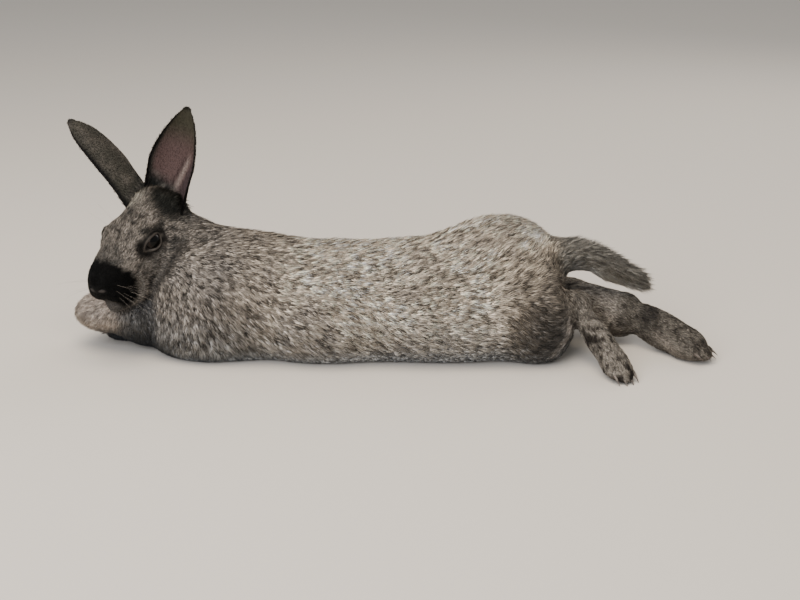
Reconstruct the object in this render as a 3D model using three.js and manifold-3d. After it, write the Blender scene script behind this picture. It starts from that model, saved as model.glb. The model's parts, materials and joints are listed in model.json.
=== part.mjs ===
// A rabbit lying stretched out on its belly: head turned to its left over the dewlap, forelegs folded
// under the chest, both hind feet kicked out to the left, tail straight back. Life size, in millimetres.
// +X runs from nose to tail, -Y is the rabbit's left side, +Z is up and the floor is z = 0.
// The body is a blend of round masses; it is meshed part by part and parted with thin cuts.
import * as THREE from "three";
import { mergeVertices } from "three/addons/utils/BufferGeometryUtils.js";
import Module from "manifold-3d";

const wasm = await Module();
wasm.setup();

// ---- Driving dimensions -------------------------------------------------------------------------

const GAP = 0.35; // clear space at every cut between two parts
const ROOM = 0.6; // clear space round a mass that lies in another, where facets differ
const HEAD_YAW = 60; // degrees that the head turns to the rabbit's left
const HEAD_PITCH = 18; // degrees that the nose points down
const HEAD_ROLL = 3; // degrees that the crown leans to the rabbit's right
const HEAD_CENTRE = [-240, -17, 101]; // in the middle of the skull, between the eyes
const EYE_RADIUS = 9;
const EYE_PLACE = { forward: 1, side: 22.5, up: 7.5 };
const EAR_THICKNESS = 4.2;
const EAR_WIDTH = 57; // laid flat
const CLAW_LENGTH = 11;
const CLAW_RADIUS = 1.7;
const CLAW_HOOK = 0.02; // how fast a claw bends down, per mm squared
const HIND_TOE = 20; // length of the free end of a toe
const FORE_TOE = 12;
const FOREPAW_WIDTH = 21;
const FOREPAW_THICKNESS = 17;
const OUTER_TOE_SETBACK = 3.2; // for each toe's step away from the middle of the foot
const THIGH_CENTRE = [104, 38, 46]; // the left one; the right one mirrors it

const degrees = THREE.MathUtils.degToRad;

// ---- Implicit shapes: each is a function of x, y, z that is negative inside ----------------------

function ellipsoid(centre, radii, frame = new THREE.Matrix4()) {
  const toLocal = new THREE.Matrix4()
    .multiplyMatrices(frame, new THREE.Matrix4().makeTranslation(...centre))
    .invert();
  const e = toLocal.elements;
  const [rx, ry, rz] = radii;
  return (x, y, z) => {
    const px = e[0] * x + e[4] * y + e[8] * z + e[12];
    const py = e[1] * x + e[5] * y + e[9] * z + e[13];
    const pz = e[2] * x + e[6] * y + e[10] * z + e[14];
    const k0 = Math.hypot(px / rx, py / ry, pz / rz);
    const k1 = Math.hypot(px / (rx * rx), py / (ry * ry), pz / (rz * rz));
    return k1 < 1e-9 ? -Math.min(rx, ry, rz) : (k0 * (k0 - 1)) / k1;
  };
}

// A cone with round ends from a to b.
function taper(a, b, ra, rb, frame = new THREE.Matrix4()) {
  const from = new THREE.Vector3(...a).applyMatrix4(frame);
  const along = new THREE.Vector3(...b).applyMatrix4(frame).sub(from);
  const length2 = along.lengthSq();
  const fall = ra - rb;
  return (x, y, z) => {
    const px = x - from.x;
    const py = y - from.y;
    const pz = z - from.z;
    const t = (px * along.x + py * along.y + pz * along.z) / length2;
    const s = Math.min(1, Math.max(0, t));
    const away = Math.hypot(px - s * along.x, py - s * along.y, pz - s * along.z);
    return away - (ra - fall * s);
  };
}

// A chain of tapers through points that each carry a radius: [x, y, z, radius].
function limb(points, softness, frame) {
  const lengths = points
    .slice(1)
    .map((b, i) => taper(points[i].slice(0, 3), b.slice(0, 3), points[i][3], b[3], frame));
  return blend(softness, ...lengths);
}

function softMin(a, b, k) {
  const h = Math.max(k - Math.abs(a - b), 0) / k;
  return Math.min(a, b) - h * h * k * 0.25;
}

function blend(k, ...shapes) {
  return (x, y, z) => {
    let d = shapes[0](x, y, z);
    for (let i = 1; i < shapes.length; i++) d = softMin(d, shapes[i](x, y, z), k);
    return d;
  };
}

// ---- From implicit shape to closed mesh ---------------------------------------------------------

// The cube's corners are 0..7, with bits x, y, z; each edge is its low corner and its axis.
const EDGES = [0, 1, 2].flatMap((axis) =>
  [0, 1, 2, 3, 4, 5, 6, 7].filter((c) => !(c & (1 << axis))).map((corner) => ({ corner, axis })),
);
const edgeNumber = (corner, axis) => EDGES.findIndex((e) => e.corner === corner && e.axis === axis);
const EDGE_AT = [0, 1, 2, 3, 4, 5, 6, 7].map((corner) =>
  [0, 1, 2].map((axis) => edgeNumber(corner & ~(1 << axis), axis)),
);
const FACES = [0, 1, 2].flatMap((axis) =>
  [0, 1].map((side) => ({
    axis,
    corners: [0, 1, 2, 3, 4, 5, 6, 7].filter((c) => ((c >> axis) & 1) === side),
  })),
);

// Splits the crossed edges of one cell into the sheets of surface that pass through it, so that two
// sheets in one cell never share a vertex. Returns a sheet number for each edge, or -1.
function sheetsOf(inside) {
  const sheet = EDGES.map(({ corner, axis }, n) =>
    inside[corner] === inside[corner | (1 << axis)] ? -1 : n,
  );
  const join = (m, n) => {
    const [keep, drop] = [sheet[m], sheet[n]];
    if (keep !== drop) sheet.forEach((v, i) => v === drop && (sheet[i] = keep));
  };
  for (const { axis, corners } of FACES) {
    const around = [0, 1, 2].filter((a) => a !== axis);
    const crossed = new Set(
      corners.flatMap((c) => around.map((a) => EDGE_AT[c][a])).filter((n) => sheet[n] >= 0),
    );
    if (crossed.size === 2) join(...crossed);
    if (crossed.size === 4)
      for (const c of corners.filter((corner) => inside[corner]))
        join(EDGE_AT[c][around[0]], EDGE_AT[c][around[1]]);
  }
  return sheet;
}

// Dual contouring: one vertex for each sheet of surface in a cell, slid onto the surface and then out
// by swell, and one quad round each crossed edge. The walls of the box close whatever reaches them.
function netGeometry(shape, low, high, cell, swell) {
  const [nx, ny, nz] = low.map((v, i) => Math.ceil((high[i] - v) / cell) + 1);
  const at = (i, j, k) => (k * ny + j) * nx + i;
  const value = new Float64Array(nx * ny * nz);
  const atWall = (i, j, k) => [i, j, k, nx - 1 - i, ny - 1 - j, nz - 1 - k].includes(0);
  for (let k = 0; k < nz; k++)
    for (let j = 0; j < ny; j++)
      for (let i = 0; i < nx; i++) {
        const d = shape(low[0] + i * cell, low[1] + j * cell, low[2] + k * cell);
        value[at(i, j, k)] = atWall(i, j, k) ? Math.max(d, cell / 2) : d;
      }
  const offset = [0, 1, 2, 3, 4, 5, 6, 7].map((c) => [c & 1, (c >> 1) & 1, c >> 2]);
  const vertexOf = new Map();
  const positions = [];
  for (let k = 0; k < nz - 1; k++)
    for (let j = 0; j < ny - 1; j++)
      for (let i = 0; i < nx - 1; i++) {
        const v = offset.map(([x, y, z]) => value[at(i + x, j + y, k + z)]);
        const inside = v.map((d) => d < 0);
        if (inside.every((s) => s === inside[0])) continue;
        const sheet = sheetsOf(inside);
        for (const one of new Set(sheet.filter((s) => s >= 0))) {
          const sum = [0, 0, 0];
          let crossings = 0;
          EDGES.forEach(({ corner, axis }, n) => {
            if (sheet[n] !== one) return;
            const share = v[corner] / (v[corner] - v[corner | (1 << axis)]);
            offset[corner].forEach((o, c) => (sum[c] += o + (c === axis ? share : 0)));
            vertexOf.set(at(i, j, k) * EDGES.length + n, positions.length / 3);
            crossings++;
          });
          const cellAt = [i, j, k];
          const point = sum.map((t, c) => low[c] + (cellAt[c] + t / crossings) * cell);
          positions.push(...slideOn(shape, point, cell, swell));
        }
      }
  const index = [];
  for (let k = 0; k < nz - 1; k++)
    for (let j = 0; j < ny - 1; j++)
      for (let i = 0; i < nx - 1; i++)
        for (let axis = 0; axis < 3; axis++) {
          const here = value[at(i, j, k)] < 0;
          const next = value[at(i + (axis === 0), j + (axis === 1), k + (axis === 2))] < 0;
          if (here === next) continue;
          const u = (axis + 1) % 3;
          const w = (axis + 2) % 3;
          const cells = [0, 1 << u, (1 << u) | (1 << w), 1 << w].map((corner) => {
            const [x, y, z] = offset[corner];
            const edge = EDGE_AT[corner][axis];
            return vertexOf.get(at(i - x, j - y, k - z) * EDGES.length + edge);
          });
          if (next) cells.reverse();
          pushQuad(index, positions, cells);
        }
  const geometry = new THREE.BufferGeometry();
  geometry.setAttribute("position", new THREE.Float32BufferAttribute(positions, 3));
  geometry.setIndex(index);
  return geometry;
}

// Newton steps along the gradient, each kept within a quarter of a cell, and a last step of swell.
function slideOn(shape, point, cell, swell) {
  const probe = 0.05;
  const at = new THREE.Vector3(...point);
  const slope = new THREE.Vector3();
  for (let round = 0; round < 4; round++) {
    const { x, y, z } = at;
    slope.set(
      shape(x + probe, y, z) - shape(x - probe, y, z),
      shape(x, y + probe, z) - shape(x, y - probe, z),
      shape(x, y, z + probe) - shape(x, y, z - probe),
    );
    slope.divideScalar(2 * probe);
    if (round === 3) break;
    const move = -shape(x, y, z) / Math.max(slope.lengthSq(), 0.2);
    at.addScaledVector(slope, THREE.MathUtils.clamp(move, -cell / 4, cell / 4));
  }
  return at.addScaledVector(slope.normalize(), swell).toArray();
}

// Two triangles across the quad's shorter diagonal.
function pushQuad(index, positions, [a, b, c, d]) {
  const gap2 = (p, q) =>
    (positions[3 * p] - positions[3 * q]) ** 2 +
    (positions[3 * p + 1] - positions[3 * q + 1]) ** 2 +
    (positions[3 * p + 2] - positions[3 * q + 2]) ** 2;
  if (gap2(a, c) < gap2(b, d)) index.push(a, b, c, a, c, d);
  else index.push(a, b, d, b, c, d);
}

// ---- Solids: joining and cutting ----------------------------------------------------------------

function solidOf(geometry) {
  const bare = geometry.index ? geometry.toNonIndexed() : geometry.clone();
  const merged = mergeVertices(
    new THREE.BufferGeometry().setAttribute("position", bare.getAttribute("position")),
    1e-3,
  );
  return new wasm.Manifold(
    new wasm.Mesh({
      numProp: 3,
      vertProperties: merged.attributes.position.array,
      triVerts: new Uint32Array(merged.index.array),
    }),
  );
}

// The mass of an implicit shape inside a box, standing on the floor. swell makes the room for it in
// its neighbours. Where a net pinches, it is made again with a slightly finer cell.
const FINER = 0.965;
const MOST_TRIES = 8;
function mass(shape, [low, high, cell], swell = 0) {
  for (let i = 0; i < MOST_TRIES; i++)
    try {
      return solidOf(netGeometry(shape, low, high, cell * FINER ** i, swell)).subtract(floorBlock);
    } catch (error) {
      if (i === MOST_TRIES - 1) throw error;
    }
}

// A big block that lies wholly on the side of a plane that its normal points to.
const BLOCK = 900;
function blockBeyond(point, normal, shift = 0) {
  const n = new THREE.Vector3(...normal).normalize();
  const turn = new THREE.Quaternion().setFromUnitVectors(new THREE.Vector3(0, 0, 1), n);
  const geometry = new THREE.BoxGeometry(BLOCK, BLOCK, BLOCK);
  geometry.translate(0, 0, BLOCK / 2 + shift);
  geometry.applyQuaternion(turn);
  geometry.translate(...point);
  return solidOf(geometry);
}

const floorBlock = blockBeyond([0, 0, 0], [0, 0, -1]);

// Both sides of a plane, each cut back by half the gap: [behind, beyond].
function part(solid, { point, normal }, gap = GAP) {
  const beyond = blockBeyond(point, normal, gap / 2);
  const notBehind = blockBeyond(point, normal, -gap / 2);
  return [solid.subtract(notBehind), solid.intersect(beyond)];
}

const clear = (solid, others) => others.reduce((left, other) => left.subtract(other), solid);

// The largest single body of a solid, so that no crumb of a cut is left.
function mainBody(solid) {
  return solid.decompose().reduce((a, b) => (a.volume() > b.volume() ? a : b));
}

// ---- Head frame: x to the nose, y to the rabbit's left, z to the crown --------------------------

const yaw = degrees(HEAD_YAW);
const pitch = degrees(HEAD_PITCH);
const forward = new THREE.Vector3(
  -Math.cos(pitch) * Math.cos(yaw),
  -Math.cos(pitch) * Math.sin(yaw),
  -Math.sin(pitch),
);
const left = new THREE.Vector3(Math.sin(yaw), -Math.cos(yaw), 0).applyAxisAngle(
  forward,
  degrees(HEAD_ROLL),
);
const crown = new THREE.Vector3().crossVectors(forward, left);
const headFrame = new THREE.Matrix4()
  .makeBasis(forward, left, crown)
  .setPosition(...HEAD_CENTRE);
const inHead = (x, y, z) => new THREE.Vector3(x, y, z).applyMatrix4(headFrame).toArray();

// ---- Head ---------------------------------------------------------------------------------------

function headShape() {
  const pair = (x, y, z, radii) => [
    ellipsoid([x, y, z], radii, headFrame),
    ellipsoid([x, -y, z], radii, headFrame),
  ];
  const skull = ellipsoid([-22, 0, 3], [38, 26, 29], headFrame);
  const cheeks = pair(-9, 14, -15, [32, 20, 26]);
  const jowls = pair(14, 11, -21, [25, 12, 14]);
  const throats = pair(14, 9, -34, [25, 13, 14]);
  const cheekbones = pair(20, 12, -7, [24, 12, 15]);
  const orbits = pair(-1, 16, 8, [21, 13, 14]);
  const bridge = taper([2, 0, 2], [42, 0, -6], 23, 18, headFrame);
  const jaw = taper([-10, 0, -20], [30, 0, -22], 21, 12, headFrame);
  const pads = pair(42, 8.5, -17, [17, 13, 13.5]);
  const nose = ellipsoid([53, 0, -8], [9, 10, 10], headFrame);
  const chin = ellipsoid([39, 0, -35], [14, 12, 11], headFrame);
  const crown = ellipsoid([-36, 0, 22], [17, 18, 15], headFrame);
  const earRoots = pair(-42, 15, 13, [15, 13, 16]);
  const cheek = [...cheeks, ...jowls, ...throats, ...cheekbones];
  const face = [...orbits, bridge, jaw, ...pads, nose, chin];
  return blend(8, skull, crown, ...cheek, ...face, ...earRoots);
}

const eyeCentre = (side) => inHead(EYE_PLACE.forward, side * EYE_PLACE.side, EYE_PLACE.up);

function eyeSolid(side, radius) {
  const ball = new THREE.SphereGeometry(radius, 10, 8);
  return solidOf(ball.translate(...eyeCentre(side)));
}

// ---- Ears: a flattened ball, drawn out to a leaf and rolled into a cup ---------------------------

const EARS = {
  ear_left: {
    root: inHead(-40, 8, 8.5),
    tip: [-189, 5, 224.5],
    facing: [-0.37, -0.93, 0],
    twist: 13,
    bow: -3.7,
  },
  ear_right: {
    root: inHead(-38, -10.5, 12),
    tip: [-306, 42, 205.5],
    facing: [-1, 0.14, -0.4],
    twist: -68,
    bow: -7,
  },
};

// The cup opens towards facing at its root, and has turned by twist degrees at its tip; halfway up, it
// is bowed sideways. Across the ear, the leaf follows an arc of half angle closing.
function earGeometry({ root, tip, facing, twist, bow }) {
  const ball = new THREE.SphereGeometry(1, 10, 13);
  const base = new THREE.Vector3(...root);
  const up = new THREE.Vector3(...tip).sub(base);
  const length = up.length();
  up.normalize();
  const open = new THREE.Vector3(...facing);
  open.addScaledVector(up, -open.dot(up)).normalize();
  const across = new THREE.Vector3().crossVectors(up, open);
  const position = ball.getAttribute("position");
  const p = new THREE.Vector3();
  for (let i = 0; i < position.count; i++) {
    p.fromBufferAttribute(position, i);
    const s = Math.acos(THREE.MathUtils.clamp(-p.y, -1, 1)) / Math.PI;
    const ring = Math.hypot(p.x, p.z) || 1;
    const sideways = p.x / ring;
    const depth = p.z / ring;
    const closing = THREE.MathUtils.lerp(1.45, 0.75, s);
    const radius = ((EAR_WIDTH / 2) * earOutline(s)) / closing;
    const nearEnd = Math.min(1, 12 * s, 12 * (1 - s));
    const thick = EAR_THICKNESS * (1.15 - 0.5 * s) * Math.sqrt(1 - 0.85 * sideways ** 2) * nearEnd;
    const reach = radius - (depth * thick) / 2;
    const angle = sideways * closing;
    p.set(0, 0, 0)
      .addScaledVector(across, Math.sin(angle) * reach)
      .addScaledVector(open, radius / 2 - Math.cos(angle) * reach)
      .applyAxisAngle(up, degrees(twist) * s ** 3)
      .addScaledVector(across, bow * Math.sin(Math.PI * s))
      .addScaledVector(up, s * length)
      .add(base);
    position.setXYZ(i, p.x, p.y, p.z);
  }
  return ball;
}

// Width along the ear, as a share of the widest: a stout stem, then a long taper to a round tip.
const WIDEST = 0.46; // how far up the ear it is widest
function earOutline(s) {
  const foot = Math.sqrt(Math.min(1, s * 16));
  const taper = Math.max(0, (s - WIDEST) / (1 - WIDEST));
  const tip = 0.26 * Math.sqrt(Math.min(1, (1 - s) / 0.05));
  return foot * Math.max(tip, Math.max(0, 1 - taper ** 1.3) ** 0.78);
}

// ---- Trunk, neck and dewlap ---------------------------------------------------------------------

const napeShape = () => taper(inHead(-32, 0, -4), [-172, 6, 62], 30, 44);

const throatShape = () => taper(inHead(-14, 0, -24), [-196, 6, 40], 22, 38);

const trunkShape = () => {
  const withers = ellipsoid([-146, 2, 51], [82, 70, 57]);
  const ribs = ellipsoid([-66, 0, 40], [104, 76, 60]);
  const belly = ellipsoid([22, 0, 43], [92, 77, 59]);
  const loin = ellipsoid([80, 3, 57], [66, 66, 62]);
  const flank = ellipsoid([72, 0, 33], [70, 73, 42]);
  const rump = ellipsoid([100, 4, 62], [50, 56, 56]);
  const chest = ellipsoid([-172, -3, 26], [66, 60, 42]);
  const ruff = ellipsoid([-191, -10, 56], [36, 37, 42]);
  const neck = blend(14, napeShape(), throatShape());
  const body = blend(20, withers, ribs, belly, flank, loin, rump, neck, chest, ruff);
  return blend(10, body, thighShape(-1), thighShape(1));
};

// Haunch and knee.
const thighShape = (side) =>
  blend(
    12,
    ellipsoid([THIGH_CENTRE[0], side * THIGH_CENTRE[1], THIGH_CENTRE[2]], [46, 37, 46]),
    ellipsoid([124, side * 43, 32], [34, 29, 36]),
  );

const dewlapShape = () =>
  blend(
    12,
    ellipsoid([-267, 2, 33], [36, 34, 22]),
    ellipsoid([-246, -10, 36], [26, 28, 20]),
    ellipsoid([-232, 0, 34], [32, 38, 34]),
  );

// ---- Tail: arched, thick at the root and pointed ------------------------------------------------

const tailShape = () =>
  limb(
    [
      [138, 5, 83, 17],
      [158, 6, 83.5, 13.5],
      [174, 7, 81.5, 11.5],
      [191, 8, 73.5, 11],
      [210, 9, 64, 8],
      [236, 9, 52, 3],
    ],
    9,
  );

// ---- Legs: [x, y, z, radius] --------------------------------------------------------------------

const HIND_LEGS = {
  left: {
    shank: [
      [110, -42, 44, 20],
      [138, -34, 47, 17],
      [158, -25, 45, 15],
    ],
    heel: [160, -26, 45],
    toes: [197, -104, 4],
    width: 26,
    thick: 24,
  },
  right: {
    shank: [
      [114, 50, 40, 24],
      [160, 32, 34, 21],
      [205, 12, 26, 22],
    ],
    heel: [210, 12, 30],
    toes: [276, -53, 8.5],
    width: 30,
    thick: 31,
  },
};

const FORELEGS = {
  left: { elbow: [-176, -36, 17], wrist: [-236, -4, 13], toes: [-274, 20, 7] },
  right: { elbow: [-180, 52, 17], wrist: [-238, 45, 13], toes: [-278, 48, 7] },
};

// A foot runs from its heel or wrist to the toes, wide across and flat the other way, and ends in
// a fan of four toes.
function footShape(from, tip, width, thick, toeReach) {
  const a = new THREE.Vector3(...from);
  const along = new THREE.Vector3(...tip).sub(a);
  const length = along.length();
  along.normalize();
  const across = new THREE.Vector3(0, 0, 1).cross(along).normalize();
  const up = new THREE.Vector3().crossVectors(along, across);
  const frame = new THREE.Matrix4().makeBasis(along, across, up).setPosition(a);
  const pad = length - toeReach;
  const toes = [-1.5, -0.5, 0.5, 1.5].map((step) => ({
    y: (step * width) / 4,
    end: length - Math.abs(step) * OUTER_TOE_SETBACK,
  }));
  const sole = ellipsoid([length * 0.46, 0, 0], [length * 0.58, width * 0.44, thick * 0.6], frame);
  const ball = ellipsoid([pad * 0.98, 0, -1], [length * 0.2, width * 0.5, thick * 0.54], frame);
  const fan = toes.map(({ y, end }) =>
    taper([pad - toeReach * 0.5, y * 0.8, -1], [end, y, -1], width * 0.16, width * 0.145, frame),
  );
  return { frame, toes, shape: blend(4, sole, ball, ...fan) };
}

// A claw hooks down from the end of a toe.
function clawSolid(foot, { y, end }, grown) {
  const cone = new THREE.ConeGeometry(CLAW_RADIUS + grown, CLAW_LENGTH + 2 * grown, 6, 2);
  cone.rotateZ(-Math.PI / 2);
  const position = cone.getAttribute("position");
  for (let i = 0; i < position.count; i++) {
    const x = position.getX(i);
    const hook = -CLAW_HOOK * (x + CLAW_LENGTH / 2) ** 2;
    position.setZ(i, position.getZ(i) + hook);
  }
  cone.translate(end + CLAW_LENGTH * 0.42, y, 0.6);
  cone.applyMatrix4(foot.frame);
  return solidOf(cone).subtract(floorBlock);
}

// ---- Making every part --------------------------------------------------------------------------

const solids = new Map();

// Eyes lie in sockets of the head.
const eyeSides = { left: 1, right: -1 };
for (const [name, side] of Object.entries(eyeSides))
  solids.set(`eye_${name}`, eyeSolid(side, EYE_RADIUS));

// Head, neck and trunk are one mass, parted behind the jaw and before the shoulders.
const NECK_PLANE = { point: [-200, -10, 100], normal: [0.82, 0.3, -0.45] };
const SHOULDER_PLANE = { point: [-172, 4, 60], normal: [1, 0.06, -0.18] };
const flesh = blend(5, blend(12, headShape(), napeShape()), trunkShape());
const headBox = [[-330, -110, -8], [-180, 90, 165], 9.4];
const headRoom = mass(flesh, headBox, ROOM);
let [head] = part(mass(flesh, headBox), NECK_PLANE);
for (const side of Object.values(eyeSides)) head = head.subtract(eyeSolid(side, EYE_RADIUS + GAP));
solids.set("head", mainBody(head));

for (const [name, shape] of Object.entries(EARS))
  solids.set(name, mainBody(solidOf(earGeometry(shape)).subtract(headRoom)));

const neckMass = mass(flesh, [[-270, -110, -10], [-140, 110, 165], 21.6]);
let [neck] = part(part(neckMass, NECK_PLANE)[1], SHOULDER_PLANE);
let [, trunk] = part(mass(flesh, [[-200, -115, -22], [190, 118, 150], 28.5]), SHOULDER_PLANE);

// Each leg is one mass, parted at the hock or wrist, with its claws let into the toes.
const LEGS = {
  hind_left: hindLeg(HIND_LEGS.left, [[85, -125, -9], [225, 20, 90]]),
  hind_right: hindLeg(HIND_LEGS.right, [[85, -90, -9], [315, 90, 90]]),
  fore_left: foreleg(FORELEGS.left, [[-310, -65, -8], [-145, 55, 45]]),
  fore_right: foreleg(FORELEGS.right, [[-310, 0, -8], [-145, 85, 45]]),
};
const LEG_NAMES = { hind: ["shank", "hind_foot"], fore: ["forearm", "forepaw"] };
const LEG_CELL = 12.6;
const FOOT_CELL = 8.8;

function hindLeg({ shank, heel, toes, width, thick }, box) {
  const foot = footShape(heel, toes, width, thick, HIND_TOE);
  const shape = blend(7, foot.shape, limb(shank, 5), ellipsoid(heel, [15, 14, 15]));
  const shin = direction(shank[1], heel);
  const normal = shin.add(direction(heel, toes)).normalize();
  return { foot, shape, box, plane: planeAlong(heel, normal, -3) };
}

function foreleg({ elbow, wrist, toes }, box) {
  const foot = footShape(wrist, toes, FOREPAW_WIDTH, FOREPAW_THICKNESS, FORE_TOE);
  const shape = blend(5, foot.shape, limb([[...elbow, 19], [...wrist, 11.5]], 4));
  return { foot, shape, box, plane: planeAlong(wrist, direction(elbow, wrist), 2) };
}

function direction(from, to) {
  return new THREE.Vector3(...to.slice(0, 3)).sub(new THREE.Vector3(...from.slice(0, 3))).normalize();
}

function planeAlong(point, normal, shift) {
  const moved = new THREE.Vector3(...point).addScaledVector(normal, shift);
  return { point: moved.toArray(), normal: normal.toArray() };
}

// The room for a leg is cut likewise, with its two halves overlapping.
const legRoom = [];
for (const [key, { foot, shape, box, plane }] of Object.entries(LEGS)) {
  const [kind, side] = key.split("_");
  const legBox = [...box, LEG_CELL];
  const footBox = [...box, FOOT_CELL];
  const [upper] = part(mass(shape, legBox), plane);
  let [, lower] = part(mass(shape, footBox), plane);
  foot.toes.forEach((toe, i) => {
    solids.set(`claw_${key}_${i + 1}`, clawSolid(foot, toe, 0));
    lower = lower.subtract(clawSolid(foot, toe, GAP));
  });
  solids.set(`${LEG_NAMES[kind][0]}_${side}`, mainBody(upper));
  solids.set(`${LEG_NAMES[kind][1]}_${side}`, mainBody(lower));
  legRoom.push(part(mass(shape, legBox, ROOM), plane, -ROOM)[0]);
  legRoom.push(part(mass(shape, footBox, ROOM), plane, -ROOM)[1]);
}

// The dewlap lies over the forepaws, under the chin and before the neck.
const dewlapBox = [[-310, -60, -8], [-185, 60, 78], 19.5];
const dewlap = clear(mass(dewlapShape(), dewlapBox), [headRoom, ...legRoom]);
solids.set("dewlap", mainBody(part(dewlap, SHOULDER_PLANE)[0]));
neck = clear(neck, [mass(dewlapShape(), dewlapBox, ROOM), ...legRoom]);
solids.set("neck", mainBody(neck));

// The trunk gives way to the tail and the legs, and its haunches are parted off as thighs.
const tailBox = [[110, -30, 40], [250, 45, 125], 11.4];
solids.set("tail", mass(tailShape(), tailBox));
trunk = clear(trunk, [mass(tailShape(), tailBox, ROOM), ...legRoom]);
const thighBox = [[45, -135, -20], [175, 135, 110], 22];
for (const [name, side] of [["left", -1], ["right", 1]]) {
  const haunch = ellipsoid([THIGH_CENTRE[0] + 2, side * (THIGH_CENTRE[1] + 24), 38], [50, 42, 56]);
  solids.set(`thigh_${name}`, mainBody(trunk.intersect(mass(haunch, thighBox))));
  trunk = trunk.subtract(mass(haunch, thighBox, ROOM));
}
solids.set("trunk", mainBody(trunk));

// ---- Scene graph --------------------------------------------------------------------------------

const COAT = { color: 0x8f8c87, roughness: 0.95, metalness: 0 };
const DARK_COAT = { color: 0x3a3937, roughness: 0.95, metalness: 0 };
const PALE_COAT = { color: 0xb9b2a6, roughness: 0.95, metalness: 0 };
const EYE = { color: 0x17110d, roughness: 0.1, metalness: 0 };
const CLAW = { color: 0x4a4038, roughness: 0.4, metalness: 0 };

function finishOf(name) {
  if (name.startsWith("eye")) return EYE;
  if (name.startsWith("claw")) return CLAW;
  if (name.startsWith("ear")) return DARK_COAT;
  return name === "dewlap" ? PALE_COAT : COAT;
}

function meshOf(name, solid) {
  const { numProp, numVert, vertProperties, triVerts } = solid.getMesh();
  const positions = new Float32Array(numVert * 3);
  for (let i = 0; i < numVert; i++)
    positions.set(vertProperties.subarray(i * numProp, i * numProp + 3), i * 3);
  const geometry = new THREE.BufferGeometry();
  geometry.setAttribute("position", new THREE.BufferAttribute(positions, 3));
  geometry.setIndex(new THREE.BufferAttribute(new Uint32Array(triVerts), 1));
  geometry.computeVertexNormals();
  const mesh = new THREE.Mesh(geometry, new THREE.MeshStandardMaterial(finishOf(name)));
  mesh.name = name;
  return mesh;
}

const rabbit = new THREE.Group();
for (const [name, solid] of solids) rabbit.add(meshOf(name, solid));

// The origin is the middle of the footprint, on the floor.
const bounds = new THREE.Box3().setFromObject(rabbit);
const middle = bounds.getCenter(new THREE.Vector3());
rabbit.position.set(-middle.x, -middle.y, -bounds.min.z);

export default rabbit;
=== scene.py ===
import json
import math

import bmesh
import bpy
import numpy as np
from mathutils import Matrix, Vector, kdtree, noise

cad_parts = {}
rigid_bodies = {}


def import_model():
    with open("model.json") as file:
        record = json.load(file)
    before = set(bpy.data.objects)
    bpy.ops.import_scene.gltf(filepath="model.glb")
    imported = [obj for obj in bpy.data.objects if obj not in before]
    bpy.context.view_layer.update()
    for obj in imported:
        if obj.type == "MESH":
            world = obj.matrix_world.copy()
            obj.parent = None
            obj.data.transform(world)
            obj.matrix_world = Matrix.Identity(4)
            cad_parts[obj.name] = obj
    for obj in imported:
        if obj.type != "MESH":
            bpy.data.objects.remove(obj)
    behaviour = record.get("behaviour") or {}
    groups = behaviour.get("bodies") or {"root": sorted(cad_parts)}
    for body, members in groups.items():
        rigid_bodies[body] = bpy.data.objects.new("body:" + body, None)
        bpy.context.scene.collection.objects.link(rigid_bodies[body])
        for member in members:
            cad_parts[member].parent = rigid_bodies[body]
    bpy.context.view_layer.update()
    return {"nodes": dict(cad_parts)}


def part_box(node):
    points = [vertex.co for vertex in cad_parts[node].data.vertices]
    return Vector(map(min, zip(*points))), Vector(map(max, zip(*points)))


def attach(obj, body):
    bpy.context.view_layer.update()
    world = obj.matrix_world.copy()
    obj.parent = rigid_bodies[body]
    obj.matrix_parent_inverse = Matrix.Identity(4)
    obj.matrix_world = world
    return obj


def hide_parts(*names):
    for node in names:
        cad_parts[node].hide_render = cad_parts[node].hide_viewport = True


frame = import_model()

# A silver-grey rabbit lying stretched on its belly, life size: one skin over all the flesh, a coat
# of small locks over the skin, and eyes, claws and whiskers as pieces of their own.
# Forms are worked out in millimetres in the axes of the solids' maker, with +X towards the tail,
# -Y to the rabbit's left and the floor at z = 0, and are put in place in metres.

MM = 0.001

# ---- Sizes of the rabbit, in millimetres and degrees --------------------------------------------

HEAD_YAW, HEAD_PITCH, HEAD_ROLL = 60, 18, 3
HEAD_CENTRE = (-240, -17, 101)
EYE_PLACE = (1, 22.5, 7.5)  # forward, to the left and up from the head's centre
EYE_RADIUS = 9
EAR_WIDTH = 57
EAR_THICKNESS = 4.2
SKIN_CELL = 2.7
SEED = 11

# Each leg: the places and radii down to its last joint, the radii of the knob there, the tips of the
# toes, the foot's width, thickness and length of toe, and how softly the foot and the limb run together.
LEGS = {
    "hind_left": {
        "chain": [(110, -42, 44, 20), (138, -34, 47, 17), (158, -25, 45, 15)],
        "joint": (160, -26, 45),
        "knob": (15, 14, 15),
        "toes": (197, -104, 4),
        "foot": (26, 24, 20),
        "soft": (7, 5),
    },
    "hind_right": {
        "chain": [(114, 50, 40, 24), (160, 32, 34, 21), (205, 12, 26, 22)],
        "joint": (210, 12, 30),
        "knob": (15, 14, 15),
        "toes": (276, -53, 8.5),
        "foot": (30, 31, 20),
        "soft": (7, 5),
    },
    "fore_left": {
        "chain": [(-176, -36, 17, 19), (-236, -4, 13, 11.5)],
        "joint": (-236, -4, 13),
        "knob": (8, 8, 8),
        "toes": (-274, 20, 7),
        "foot": (21, 17, 12),
        "soft": (5, 4),
    },
    "fore_right": {
        "chain": [(-180, 52, 17, 19), (-238, 45, 13, 11.5)],
        "joint": (-238, 45, 13),
        "knob": (8, 8, 8),
        "toes": (-278, 48, 7),
        "foot": (21, 17, 12),
        "soft": (5, 4),
    },
}
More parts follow.
